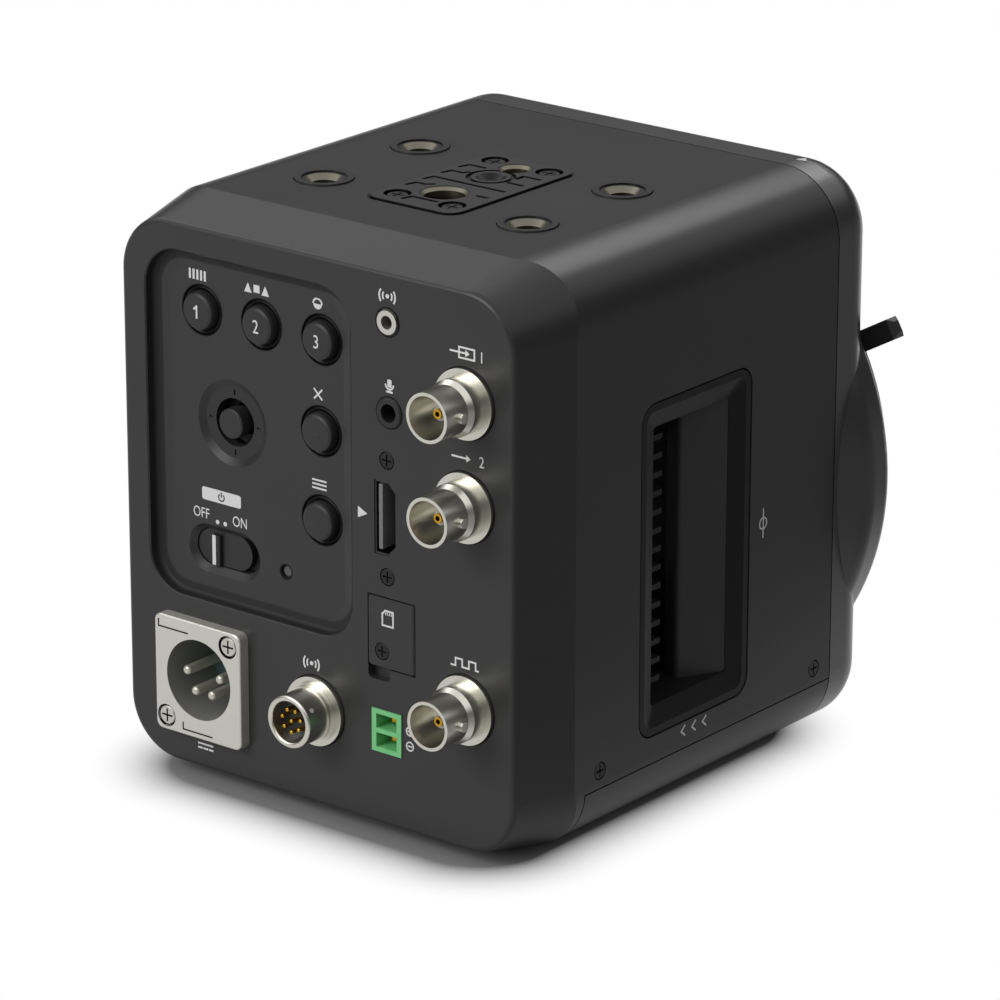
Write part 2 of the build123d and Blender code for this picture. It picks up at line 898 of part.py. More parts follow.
def wedge(middle_deg, span_deg):
    """Slice of space about the optical axis, seen from the rear, counted up from +X."""
    low = math.radians(middle_deg - span_deg / 2)
    high = math.radians(middle_deg + span_deg / 2)
    reach = 2 * throat_radius
    corners = [(reach * math.cos(angle), reach * math.sin(angle)) for angle in (low, high)]
    slice_face = make_face(Polyline((0, 0), *corners, close=True))
    return along_y(Pos(0, optical_z) * slice_face, 0, 2 * flange_y)


def mount_screw_head_height():
    """Height of a lens mount screw's head, sunk in the flange."""
    return mount_flange_thickness / 2


def lens_mount_screws():
    """Screws that hold the flange ring to the collar."""
    screws = []
    for x, z in mount_screw_places():
        place = Plane(origin=(x, flange_y, z), x_dir=(1, 0, 0), z_dir=(0, 1, 0))
        length = mount_flange_thickness - mount_screw_head_height() + mount_screw_length()
        screws.append(place * screw(mount_screw_head, mount_screw_head_height(), small_screw_shank, length))
    return screws


def lens_lock_ring():
    """Ring that turns on the collar to lock the lens, with a lever on each side."""
    rear = front_face_y + moving_gap
    step = collar_front_y - lock_ring_face_gap
    ring = tube_y(0, optical_z, lock_ring_radius, collar_radius + running_gap, rear, lock_ring_front_y)
    ring = chamfer(ring.edges().filter_by(GeomType.CIRCLE).group_by(Axis.Y)[-1].sort_by(SortBy.RADIUS)[-1],
                   lock_ring_edge)
    ring -= rod_y(0, optical_z, mount_flange_radius + moving_gap, step, 2 * flange_y)
    lever_rear = lock_ring_front_y - lock_lever_thickness
    lever_front = lock_ring_front_y - lock_lever_set_back
    half = lock_lever_width / 2
    lever_root = lock_ring_radius - 3 * lock_ring_edge
    lever = box((lever_root, lock_lever_tip), (lever_rear, lever_front), (-half, half))
    tip = lever.faces().sort_by(Axis.X)[-1].edges()
    lever = chamfer(tip, lock_lever_chamfer)
    for turn in (0, 180):
        ring += Pos(0, 0, optical_z) * Rot(0, -lock_lever_angle - turn, 0) * lever
    return ring


def mount_contact_block():
    """Block with the lens contacts, low inside the mount's sleeve."""
    rear = flange_y - mount_sleeve_length
    top = optical_z - throat_radius + contact_block_height
    block = box((-contact_block_width / 2, contact_block_width / 2), (rear, rear + contact_block_length),
                (optical_z - 2 * throat_radius, top))
    return block & rod_y(0, optical_z, throat_radius, rear, flange_y)


def mount_contact_pins():
    """Row of contacts on the front of the contact block."""
    front = flange_y - mount_sleeve_length + contact_block_length
    z = optical_z - throat_radius + contact_block_height - 2 * contact_pin_radius
    first = -(contact_pin_count - 1) / 2 * contact_pin_pitch
    pins = []
    for n in range(contact_pin_count):
        pin = rod_y(first + n * contact_pin_pitch, z, contact_pin_radius, front, front + contact_pin_rise)
        tip = pin.edges().group_by(Axis.Y)[-1]
        pins.append(fillet(tip, contact_pin_round))
    return pins


def light_baffle():
    """Disc behind the mount with a rectangular tunnel back to the sensor glass."""
    rear = baffle_rear_y()
    window = Pos(0, optical_z) * Rectangle(baffle_window_width, baffle_window_height)
    tunnel_width = baffle_window_width + 2 * baffle_wall
    tunnel_height = baffle_window_height + 2 * baffle_wall
    tunnel = Pos(0, optical_z) * Rectangle(tunnel_width, tunnel_height)
    baffle = rod_y(0, optical_z, collar_bore, rear, sleeve_rear_y)
    baffle += along_y(tunnel, glass_front_y(), rear)
    return baffle - along_y(window, 0, flange_y)


def glass_front_y():
    """Front face of the sensor's cover glass."""
    return sensor_plane_y + glass_gap + glass_thickness


def image_sensor():
    """Sensor package: its rim holds the cover glass in front of the image plane."""
    block = Pos(0, optical_z) * Rectangle(sensor_width, sensor_height)
    hollow = Pos(0, optical_z) * Rectangle(sensor_width - 2 * sensor_rim, sensor_height - 2 * sensor_rim)
    package = along_y(block, sensor_plane_y - sensor_thickness, sensor_plane_y + glass_gap)
    return package - along_y(hollow, sensor_plane_y, flange_y)


def sensor_glass():
    """Cover glass on the sensor's rim."""
    pane = Pos(0, optical_z) * Rectangle(sensor_width, sensor_height)
    return along_y(pane, glass_front_y() - glass_thickness, glass_front_y())


def sensor_board():
    """Circuit board behind the sensor."""
    board = Pos(0, optical_z) * Rectangle(sensor_board_width, sensor_board_height)
    return along_y(board, frame_front_y, sensor_plane_y - sensor_thickness)


def sensor_heat_sink():
    """Finned heat sink in the inner frame's window, behind the sensor board."""
    plate = Pos(0, optical_z) * Rectangle(heat_sink_width, heat_sink_height)
    sink = along_y(plate, frame_front_y - heat_sink_base, frame_front_y)
    rear = frame_front_y - heat_sink_depth
    pitch = (heat_sink_width - fin_thickness) / (fin_count - 1)
    height = (optical_z - heat_sink_height / 2, optical_z + heat_sink_height / 2)
    for n in range(fin_count):
        left = -heat_sink_width / 2 + n * pitch
        sink += box((left, left + fin_thickness), (rear, frame_front_y), height)
    return sink


def post_places():
    """The inner frame's four posts as (x, z)."""
    across = frame_width / 2 - post_side_edge
    up = frame_height / 2 - post_end_edge
    return [(x, optical_z + z) for x in (-across, across) for z in (-up, up)]


def inner_frame():
    """Plate behind the sensor on four posts that reach the front cover and the rear board."""
    plate = Pos(0, optical_z) * Rectangle(frame_width, frame_height)
    window = Pos(0, optical_z) * Rectangle(heat_sink_width, heat_sink_height)
    frame = along_y(plate, frame_rear_y, frame_front_y) - along_y(window, 0, flange_y)
    for x, z in post_places():
        frame += rod_y(x, z, post_radius, rear_board_y + board_thickness, front_face_y - front_wall)
    return frame


def rear_board():
    """Circuit board that carries the connectors and the button switches."""
    half = rear_board_width / 2
    return along_y(rounded(-half, half, rear_board_bottom, rear_board_top, post_radius),
                   rear_board_y, rear_board_y + board_thickness)


def main_board():
    """Processor board on the inner frame's posts."""
    board = Pos(0, optical_z) * Rectangle(main_board_width, main_board_height)
    plate = along_y(board, main_board_y, main_board_y + board_thickness)
    for x, z in post_places():
        plate -= rod_y(x, z, post_radius, 0, flange_y)
    return plate


def fan_left_x():
    """Outer face of the fan, against the outlet grille."""
    return -body_width / 2 + outlet_depth


def fan_frame():
    """Square fan housing with three spokes and a bearing for the rotor."""
    left = fan_left_x()
    square = Pos(fan_y, optical_z) * Rectangle(fan_size, fan_size)
    bore = Pos(fan_y, optical_z) * Circle(fan_bore)
    frame = along_x(square - bore, left, left + fan_depth)
    plate_low = left + fan_depth - fan_plate
    hub = Pos(fan_y, optical_z) * Circle(fan_hub_radius)
    frame += along_x(hub, plate_low, left + fan_depth)
    for n in range(fan_spoke_count):
        turn = Rot(0, 0, 90 + n * 360 / fan_spoke_count)
        spoke = Pos(fan_y, optical_z) * turn * Pos(fan_size / 4, 0)
        frame += along_x(spoke * Rectangle(fan_size / 2, fan_spoke_width), plate_low, left + fan_depth)
    shaft = Pos(fan_y, optical_z) * Circle(fan_shaft_radius + running_gap)
    return frame - along_x(shaft, left, left + 2 * fan_depth)


def fan_rotor():
    """Fan hub with slanted blades and a shaft in the frame's bearing."""
    left = fan_left_x() + moving_gap
    right = fan_left_x() + fan_depth - fan_plate - moving_gap
    centre = Pos(fan_y, optical_z)
    rotor = along_x(centre * Circle(fan_hub_radius), left, right)
    rotor += along_x(centre * Circle(fan_shaft_radius), left, fan_left_x() + fan_depth)
    length = fan_bore - fan_blade_gap
    depth = right - left
    blade = Box(length, fan_blade_thickness, depth * fan_blade_length_factor)
    blade = Pos(length / 2, 0, 0) * Rot(fan_blade_tilt, 0, 0) * blade
    blade = blade & Cylinder(length, depth)
    blade = Pos((left + right) / 2, fan_y, optical_z) * Rot(0, 90, 0) * blade
    for n in range(fan_blade_count):
        turn = Rot(n * 360 / fan_blade_count, 0, 0)
        there = Pos(0, fan_y, optical_z) * turn * Pos(0, -fan_y, -optical_z)
        rotor += there * blade
    return rotor


def vent_outline(inset):
    """Outline of a side vent, drawn in Y and Z."""
    rear = vent_rear_y + inset
    front = vent_front_y - inset
    return rounded(rear, front, vent_bottom + inset, vent_top - inset, vent_corner - inset)


def vent_mouth():
    """Outline of a side vent's mouth, drawn in Y and Z."""
    return rounded(slot_rear_y, vent_front_y - vent_border, mouth_bottom, mouth_top, vent_mouth_corner)


def vent_frame():
    """Deep frame of the air intake: its face dips towards the mouth."""
    x = body_width / 2
    frame = along_x(vent_outline(vent_gap), x - vent_depth, x - vent_set_back)
    wide = side_view(x) * vent_outline(vent_gap + vent_lip)
    narrow = side_view(x - vent_dish) * vent_mouth()
    dish = loft([wide.faces()[0], narrow.faces()[0]], ruled=True)
    return frame - dish - along_x(vent_mouth(), x - 2 * vent_depth, x + wall)


def intake_slats():
    """Comb of level slats in the deep slot of the intake, joined by a rail along its rear wall."""
    x = body_width / 2
    low = x - vent_depth
    high = x - slat_set_back
    slats = box((low, high), (slot_rear_y, slot_rear_y + slat_spine), (mouth_bottom, mouth_top))
    middle = (mouth_bottom + mouth_top) / 2
    first = middle - (slat_count - 1) / 2 * slat_pitch
    for n in range(slat_count):
        z = first + n * slat_pitch
        half = slat_thickness / 2
        slats += box((low, high), (slot_rear_y, slot_front_y), (z - half, z + half))
    return slats & along_x(vent_mouth(), low, high)


def intake_deflector():
    """Bent plate that leads the air from the intake's mouth in behind the slats."""
    x = body_width / 2
    thick = deflector_thickness
    inside_x, inside_y = deflector_bend_inside
    front = (x - deflector_shallow, vent_front_y - vent_border)
    bend = (x - deflector_bend_depth, deflector_bend_y)
    tail = (x - vent_depth, deflector_tail_y)
    back = [(tail[0], tail[1] + thick), (bend[0] - inside_x, bend[1] + inside_y), (front[0] - thick, front[1])]
    plate = along_z(make_face(Polyline(front, bend, tail, *back, close=True)), mouth_bottom, mouth_top)
    corner = plate.edges().filter_by(Axis.Z).sort_by(Axis.Y)[0]
    plate = fillet(corner, deflector_bend_round)
    return plate & along_x(vent_mouth(), x - vent_depth, x + wall)


def outlet_grille():
    """Air outlet in the left side: a frame with slanted bars."""
    x = -body_width / 2
    grille = along_x(vent_outline(vent_gap), x + vent_set_back, x + outlet_depth)
    grille -= along_x(vent_mouth(), x - wall, x + 2 * outlet_depth)
    pitch = (mouth_top - mouth_bottom) / outlet_bar_count
    bars = None
    for n in range(outlet_bar_count):
        z = mouth_bottom + (n + 0.5) * pitch
        bar = Box(outlet_depth, vent_front_y - vent_rear_y, outlet_bar_thickness)
        bar = Pos(x + vent_set_back + outlet_depth / 2, vent_middle_y, z) * Rot(0, outlet_bar_tilt, 0) * bar
        bars = bar if bars is None else bars + bar
    mouth_space = along_x(vent_mouth(), x + vent_dish / 2, x + outlet_depth)
    return grille + (bars & mouth_space)


def mount_plate(rise, mouth):
    """Plate with a large and a small tripod socket, grooved against slipping.

    It stands out of the casing by rise, and its sockets' mouths are chamfered by mouth.
    """
    floor = body_height - plate_thickness
    face = body_height + rise
    plate = along_z(plate_pocket(plate_gap), floor, face)
    for y, bore, depth in socket_places():
        bottom = body_height - depth
        plate += along_z(Pos(0, y) * Circle(socket_boss_radius), bottom - socket_floor, floor)
        plate -= along_z(Pos(0, y) * Circle(bore), bottom, face + wall)
        if mouth:
            plate -= extrude(Pos(0, y, face) * Circle(bore + mouth), amount=-mouth, taper=45)
    for x, y in plate_screw_places():
        seat_z = body_height - plate_screw_head_height
        plate -= along_z(Pos(x, y) * Circle(plate_screw_seat), seat_z, face + wall)
        plate -= along_z(Pos(x, y) * Circle(plate_screw_shank), 0, face)
    for path in groove_paths():
        plate -= groove(path, face)
    return plate - plate_dish(face)


def plate_dish(face):
    """Round dimple with a ring groove about it."""
    ring = Circle(plate_dish_ring + groove_width / 2) - Circle(plate_dish_ring - groove_width / 2)
    cut = along_z(Pos(0, plate_dish_y) * ring, face - groove_depth, face + wall)
    dimple = Pos(0, plate_dish_y, face) * Circle(plate_dish_radius)
    return cut + extrude(dimple, amount=-plate_dish_depth, taper=plate_dish_taper)


def groove_paths():
    """Middle lines of the anti-slip grooves: level runs that end at the sockets and the dimple."""
    end_x = groove_end_x
    hook_x, hook_y = groove_hook
    row_1, row_2, row_3, row_4 = groove_rows
    left_ends = [((-end_x - hook_x, y - hook_y), (-end_x, y)) for y in groove_rows]
    dish_x = plate_dish_ring + groove_width
    socket_x = big_socket_radius + socket_mouth_chamfer + groove_width
    low_y = big_socket_y - socket_x
    return [
        (*left_ends[0], (-dish_x + hook_x, row_1)),
        (*left_ends[1], (-dish_x - hook_x, row_2), (-dish_x, row_2 + hook_y / 2)),
        (*left_ends[2], (end_x, row_3)),
        (*left_ends[3], (-socket_x - hook_x, row_4), (-socket_x + hook_x, row_4 + hook_y / 2)),
        ((-socket_x / 2 - hook_x, low_y - hook_y), (-socket_x / 2, low_y), (socket_x / 2, low_y)),
        ((dish_x - hook_x, row_1 - hook_y), (dish_x - hook_x, row_1), (end_x, row_1)),
        ((dish_x, row_2), (end_x, row_2)),
        ((socket_x + hook_x, row_4), (end_x, row_4)),
    ]


def groove(path, face):
    """One anti-slip groove with round ends along its middle line."""
    cut = None
    for start, end in zip(path, path[1:]):
        run = math.dist(start, end)
        turn = math.degrees(math.atan2(end[1] - start[1], end[0] - start[0]))
        middle = Pos((start[0] + end[0]) / 2, (start[1] + end[1]) / 2)
        slot = middle * Rot(0, 0, turn) * SlotOverall(run + groove_width, groove_width)
        one = along_z(slot, face - groove_depth, face + wall)
        cut = one if cut is None else cut + one
    return cut


def plate_screws():
    """Screws of the two mount plates."""
    screws = []
    shank = plate_thickness - plate_screw_head_height + wall
    for x, y in plate_screw_places():
        one = screw(plate_screw_head, plate_screw_head_height, plate_screw_shank, shank)
        one = Pos(x, y, body_height) * one
        screws += [one, upside_down(one)]
    return screws


def bushings():
    """Threaded bushings: those in the top have a raised ring, those in the base are flush."""
    points = [
        (0, body_height - bushing_length),
        (bushing_body_radius, body_height - bushing_length),
        (bushing_body_radius, body_height - plate_thickness),
        (bushing_radius, body_height - plate_thickness),
        (bushing_radius, body_height),
        (bushing_bore + bushing_chamfer, body_height),
        (bushing_bore, body_height - bushing_chamfer),
        (bushing_bore, body_height - bushing_length + socket_floor),
        (0, body_height - bushing_length + socket_floor),
    ]
    profile = Plane.XZ * make_face(Polyline(*points, close=True))
    one = revolve(profile, axis=Axis.Z)
    rim = Circle(bushing_radius) - Circle(bushing_ring_bore)
    raised = one + along_z(rim, body_height - bushing_rise, body_height + bushing_rise)
    pieces = []
    for x, y in bushing_places():
        pieces += [Pos(x, y, 0) * raised, upside_down(Pos(x, y, 0) * one)]
    return pieces


def push_button(x, z):
    """Button with a raised cap, a stem through the panel and a clip behind it."""
    outer = button_hole_radius - button_side_gap
    front = recess_y - button_rise
    flange_back = recess_y + button_flange
    clip_front = rear_wall + button_side_gap
    clip_back = clip_front + button_clip_thickness
    stem_end = rear_board_y - button_travel - button_side_gap
    soft = button_cap_round * (1 - math.cos(math.radians(45)))
    points = [
        (0, front - button_crown),
        (button_cap_radius - button_cap_round, front),
        (button_cap_radius - soft, front + soft),
        (button_cap_radius, front + button_cap_round),
        (button_cap_radius + button_cap_draft, recess_y + button_dip),
        (outer - button_flange_round, recess_y),
        (outer, recess_y + button_flange_round),
        (outer, flange_back),
        (button_stem_radius, flange_back),
        (button_stem_radius, clip_front),
        (button_clip_radius, clip_front),
        (button_clip_radius, clip_back),
        (button_stem_radius, clip_back),
        (button_stem_radius, stem_end),
        (0, stem_end),
    ]
    return turned_y(x, z, points)


def joystick_bezel():
    """Dished ring round the stick, with a sleeve behind it that holds the gimbal."""
    flange_back = rear_wall + bezel_flange_thickness
    points = [
        (bezel_hole_radius, recess_y + bezel_dish_depth),
        (bezel_dish_radius, recess_y + bezel_dish_depth),
        (bezel_radius, recess_y),
        (bezel_radius, rear_wall),
        (bezel_flange_radius, rear_wall),
        (bezel_flange_radius, flange_back),
        (bezel_sleeve_radius, flange_back),
        (bezel_sleeve_radius, rear_board_y),
        (bezel_sleeve_bore, rear_board_y),
        (bezel_sleeve_bore, rear_wall),
        (bezel_hole_radius, rear_wall),
    ]
    bezel = turned_y(stick_x, stick_z, points)
    floor = recess_y + bezel_dish_depth
    reach = (bezel_hole_radius + bezel_dish_radius) / 2
    for turn in range(4):
        tick = Pos(reach, floor, 0) * Box(bezel_tick_length, 2 * bezel_tick_depth, bezel_tick_width)
        bezel -= Pos(stick_x, 0, stick_z) * Rot(0, turn * 90, 0) * tick
    pin = Pos(stick_x, stick_pivot_y) * Circle(pivot_pin_radius + running_gap)
    return bezel - along_z(pin, stick_z - bezel_sleeve_radius - wall, stick_z + bezel_sleeve_radius + wall)


def joystick_gimbal():
    """Ring on two upright pins: it lets the stick tilt left and right."""
    low = stick_pivot_y - gimbal_half_thickness
    high = stick_pivot_y + gimbal_half_thickness
    ring = tube_y(stick_x, stick_z, gimbal_outer, gimbal_inner, low, high)
    pin = Pos(stick_x, stick_pivot_y) * Circle(pivot_pin_radius)
    pin = along_z(pin, stick_z - pin_end(), stick_z + pin_end())
    ring += pin - rod_y(stick_x, stick_z, gimbal_inner, 0, 2 * stick_pivot_y)
    hole = Pos(stick_pivot_y, stick_z) * Circle(pivot_pin_radius + running_gap)
    return ring - along_x(hole, stick_x - 2 * gimbal_outer, stick_x + 2 * gimbal_outer)


def pin_end():
    """How far a gimbal pin reaches from the stick's centre line, into the sleeve's wall."""
    return bezel_sleeve_bore + pivot_pin_reach


def joystick_yoke():
    """Tube on two level pins in the gimbal: it lets the stick tilt up and down."""
    low = stick_pivot_y - yoke_half_length
    high = stick_pivot_y + yoke_half_length
    yoke = rod_y(stick_x, stick_z, yoke_radius, low, high)
    reach = gimbal_outer - moving_gap
    pin = Pos(stick_pivot_y, stick_z) * Circle(pivot_pin_radius)
    yoke += along_x(pin, stick_x - reach, stick_x + reach)
    return yoke - rod_y(stick_x, stick_z, stick_stem_radius + running_gap, 0, 2 * rear_board_y)


def joystick_cap():
    """Round cap on a stem that slides in the yoke when the stick is pressed."""
    back = stick_cap_front_y + stick_cap_length
    cap = rod_y(stick_x, stick_z, stick_cap_radius, stick_cap_front_y, back)
    cap = fillet(cap.edges().group_by(Axis.Y)[0], stick_cap_round)
    stem_end = rear_board_y - stick_travel - stick_clearance
    return cap + rod_y(stick_x, stick_z, stick_stem_radius, back, stem_end)


def power_slider():
    """Switch slider with a raised rib, held by a wider plate behind the panel."""
    gap = slider_gap
    length = switch_slot_length - slider_travel - 2 * gap
    left = switch_x - switch_slot_length / 2 + gap
    centre = Pos(left + length / 2, switch_z)
    face = recess_y + switch_recess_depth + slider_set_back
    back = rear_wall + gap
    slider = along_y(centre * SlotOverall(length, switch_slot_height - 2 * gap), face, back)
    overlap = 2 * slider_back_overlap
    wide = centre * SlotOverall(length + overlap, switch_slot_height + overlap)
    slider += along_y(wide, back, back + slider_back_thickness)
    top = switch_z - slider_rib_drop + slider_rib_height / 2
    rib = box((slider_rib_x - slider_rib_width / 2, slider_rib_x + slider_rib_width / 2),
              (face - slider_rib_rise, face), (top - slider_rib_height, top))
    rib = fillet(rib.edges().filter_by(Axis.Z).group_by(Axis.Y)[0], slider_rib_round)
    return slider + rib


def status_light():
    """Light pipe from the rear board to the small window beside the switch."""
    rod = rod_y(light_x, light_z, light_radius, recess_y + light_set_back, rear_board_y)
    return fillet(rod.edges().group_by(Axis.Y)[0], light_round)


def jack(x, z, radius, bore):
    """Small round jack that stands a little out of the panel."""
    body = rod_y(x, z, radius, -jack_rise, rear_board_y)
    body = chamfer(body.edges().group_by(Axis.Y)[0], jack_chamfer)
    return body - rod_y(x, z, bore, -wall, jack_bore_depth)


def coax_connector(z):
    """Bayonet coaxial connector: flange, base, barrel and two lugs."""
    shoulder_y = coax_shoulder - coax_base_length
    points = [
        (0, rear_board_y),
        (coax_base_radius, rear_board_y),
        (coax_base_radius, 0),
        (coax_flange_radius, 0),
        (coax_flange_radius, -coax_flange_thickness),
        (coax_base_radius, -coax_flange_thickness),
        (coax_base_radius, shoulder_y),
        (coax_barrel_radius, -coax_base_length),
        (coax_barrel_radius, -coax_length),
        (coax_bore_radius, -coax_length),
        (coax_bore_radius, -coax_bore_floor),
        (0, -coax_bore_floor),
    ]
    shell = turned_y(coax_x, z, points)
    lug = Pos(coax_lug_y, z) * Circle(coax_lug_radius)
    for side in (-1, 1):
        low, high = sorted((coax_x + side * coax_bore_radius, coax_x + side * coax_lug_reach))
        shell += along_x(lug, low, high) - rod_y(coax_x, z, coax_bore_radius, -coax_length, 0)
    return shell - rod_y(coax_x, z, coax_insulator_radius, -coax_length, 0)


def coax_insulators():
    """Insulating core of each coaxial connector."""
    cores = []
    for z in coax_heights:
        core = rod_y(coax_x, z, coax_insulator_radius, -coax_insulator_tip, 0)
        cores.append(core - rod_y(coax_x, z, coax_contact_radius, -coax_insulator_tip, 0))
    return cores


def coax_contacts():
    """Centre socket of each coaxial connector."""
    contacts = []
    for z in coax_heights:
        contact = rod_y(coax_x, z, coax_contact_radius, -coax_contact_tip, 0)
        contacts.append(contact - rod_y(coax_x, z, coax_contact_bore, -coax_contact_tip, -coax_bore_floor))
    return contacts


def video_port_shell():
    """Sheet metal shell of the upright digital video port."""
    shell = along_y(video_port_outline(), video_port_set_back, rear_board_y)
    hollow = along_y(video_port_outline(video_port_wall), -wall, rear_board_y - video_port_back)
    return shell - hollow


def video_port_tongue():
    """Contact tongue inside the digital video port."""
    place = Pos(video_port_x - tongue_side_step, video_port_z)
    tongue = place * Rectangle(tongue_thickness, tongue_height)
    return along_y(tongue, tongue_set_back, rear_board_y - video_port_back)


def case_screws():
    """Side screws of the casing and the two screws beside the video port."""
    screws = [side_screw(side, y) for side in (-1, 1) for y in side_screw_ys]
    length = rear_wall - small_screw_head_height
    for x, z in port_screw_places():
        one = rear_screw(x, z, 0, small_screw_head, small_screw_head_height, small_screw_shank, length)
        screws.append(one)
    return screws


def card_door():
    """Door over the memory card: it turns on an upright pin at its right edge."""
    gap = card_door_gap
    hinge_x = card_hinge_x()
    corner = card_corner - gap
    plate = rounded(card_left + gap, hinge_x + card_hinge_radius, card_bottom + gap, card_top - gap, corner)
    door = along_y(plate, 0, card_door_thickness)
    door = door & box((0, hinge_x), (0, card_door_thickness), (0, body_height))
    knuckle = Pos(hinge_x, card_hinge_radius) * Circle(card_hinge_radius)
    door += along_z(knuckle, card_bottom + gap, card_top - gap)
    pin = Pos(hinge_x, card_hinge_radius) * Circle(card_pin_radius)
    door += along_z(pin, card_bottom - card_pin_reach, card_top + card_pin_reach)
    seat = card_screw_head_height + running_gap
    door -= rod_y(card_screw_x, card_screw_z, card_screw_head + running_gap, -wall, seat)
    return door - rod_y(card_screw_x, card_screw_z, card_screw_shank + running_gap, 0, card_door_thickness)


def card_door_screw():
    """Captive screw of the card door."""
    shank = card_door_thickness - card_screw_head_height + card_screw_tip
    return rear_screw(card_screw_x, card_screw_z, 0, card_screw_head, card_screw_head_height,
                      card_screw_shank, shank)


def card_socket():
    """Memory card socket between the rear wall and the rear board."""
    outer = offset(card_slot_outline(), card_socket_wall, kind=Kind.INTERSECTION)
    slot = along_y(card_slot_outline(), 0, rear_board_y - card_socket_wall)
    return along_y(outer, rear_wall, rear_board_y) - slot


def terminal_places():
    """Heights of the two terminals."""
    return [terminal_z - terminal_pitch / 2, terminal_z + terminal_pitch / 2]


def terminal_block():
    """Two-way plug-in terminal block."""
    block = along_y(terminal_outline(), -terminal_rise, rear_board_y)
    for z in terminal_places():
        pocket = Pos(terminal_x, z) * Rectangle(terminal_pocket_width, terminal_pocket_height)
        block -= along_y(pocket, -wall, terminal_pocket_depth)
    return block


def terminal_pins():
    """Pins at the bottom of the terminal block's pockets."""
    pins = []
    for z in terminal_places():
        pin = Pos(terminal_x, z) * Rectangle(2 * terminal_pin, 2 * terminal_pin)
        pins.append(along_y(pin, terminal_pin_front, terminal_pocket_depth))
    return pins


def control_connector_shell():
    """Round multi-pin connector for the control cable."""
    points = [
        (control_bore_radius, rear_board_y),
        (control_body_radius, rear_board_y),
        (control_body_radius, 0),
        (control_flange_radius, 0),
        (control_flange_radius, -control_flange_thickness),
        (control_ring_radius, -control_flange_thickness),
        (control_ring_radius, -control_ring_length),
        (control_step_radius, -control_ring_length),
        (control_step_radius, -control_step_length),
        (control_barrel_radius, -control_step_length),
        (control_barrel_radius, -control_length),
        (control_bore_radius, -control_length),
    ]
    shell = turned_y(control_x, control_z, points)
    return fillet(shell.edges().group_by(Axis.Y)[0], control_rim_round)


def control_connector_insert():
    """Insulator inside the round connector, with a key at the top."""
    insert = rod_y(control_x, control_z, control_bore_radius, -control_insert_front, rear_board_y)
    top = control_z + control_bore_radius
    half = control_key_width / 2
    key = box((control_x - half, control_x + half), (-control_key_front, -control_insert_front),
              (top - control_key_height, top + control_key_height))
    insert += key & rod_y(control_x, control_z, control_bore_radius, -control_length, 0)
    for pin in control_pin_places():
        insert -= rod_y(*pin, control_pin_radius, -control_length, 0)
    return insert


def control_pin_places():
    """Pins of the round connector as (x, z): one in the middle of a circle of the others."""
    places = [(control_x, control_z)]
    for n in range(control_pin_count):
        angle = math.radians(90 + (n + 0.5) * 360 / control_pin_count)
        x = control_x + control_pin_circle * math.cos(angle)
        z = control_z + control_pin_circle * math.sin(angle)
        places.append((x, z))
    return places


def control_connector_pins():
    """Pins of the round connector."""
    pins = []
    for x, z in control_pin_places():
        pin = rod_y(x, z, control_pin_radius, -control_insert_front - control_pin_rise, 0)
        pins.append(fillet(pin.edges().group_by(Axis.Y)[0], control_pin_round))
    return pins


def power_inlet_plate():
    """Square plate and round shell of the power inlet."""
    outline = rounded(inlet_left, inlet_right, inlet_bottom, inlet_top, inlet_corner)
    plate = along_y(outline, -inlet_thickness, 0)
    plate = fillet(plate.faces().sort_by(Axis.Y)[0].outer_wire().edges(), inlet_edge_round)
    plate += rod_y(inlet_x, inlet_z, inlet_bore_radius + inlet_shell_wall, 0, rear_board_y)
    plate -= rod_y(inlet_x, inlet_z, inlet_bore_radius, -2 * inlet_thickness, rear_board_y)
    head = inlet_screw_head + inlet_screw_seat_gap
    face = inlet_screw_face_y()
    for x, z in inlet_screws:
        plate -= screw_clearance(x, z, head, inlet_screw_head_height, inlet_screw_shank, face)
    for left, bottom in inlet_marks:
        depth = (-inlet_thickness, inlet_mark_depth - inlet_thickness)
        plate -= box((left, left + inlet_mark_length), depth, (bottom, bottom + inlet_mark_width))
        plate -= box((left, left + inlet_mark_width), depth, (bottom, bottom + inlet_mark_height))
    return plate


def inlet_screw_face_y():
    """Where the faces of the power inlet's screw heads stand, just inside the plate."""
    return inlet_screw_set_back - inlet_thickness


def power_inlet_insert():
    """Insulator that holds the power pins."""
    insert = rod_y(inlet_x, inlet_z, inlet_bore_radius, inlet_insert_y, rear_board_y)
    for x, z in inlet_pins:
        insert -= rod_y(inlet_x + x, inlet_z + z, inlet_pin_radius, 0, rear_board_y)
    return insert


def power_inlet_pins():
    """Four power pins with rounded tips."""
    pins = []
    for x, z in inlet_pins:
        pin = rod_y(inlet_x + x, inlet_z + z, inlet_pin_radius, inlet_pin_front_y, rear_board_y)
        pins.append(fillet(pin.edges().group_by(Axis.Y)[0], inlet_pin_round))
    return pins


def power_inlet_screws():
    """Screws of the power inlet's plate."""
    length = inlet_thickness - inlet_screw_set_back - inlet_screw_head_height + rear_wall
    screws = []
    for x, z in inlet_screws:
        one = rear_screw(x, z, inlet_screw_face_y(), inlet_screw_head, inlet_screw_head_height,
                         inlet_screw_shank, length)
        screws.append(one)
    return screws


def save(name, shape):
    """Write one node, moved so that the base socket's mouth is the origin."""
    pieces = shape if isinstance(shape, list) else [shape]
    solids = [solid for piece in pieces for solid in piece.solids()]
    model = Compound(children=[Pos(0, -origin_y, 0) * solid for solid in solids])
    model.label = name
    export_step(model, f"parts/{name}.step")


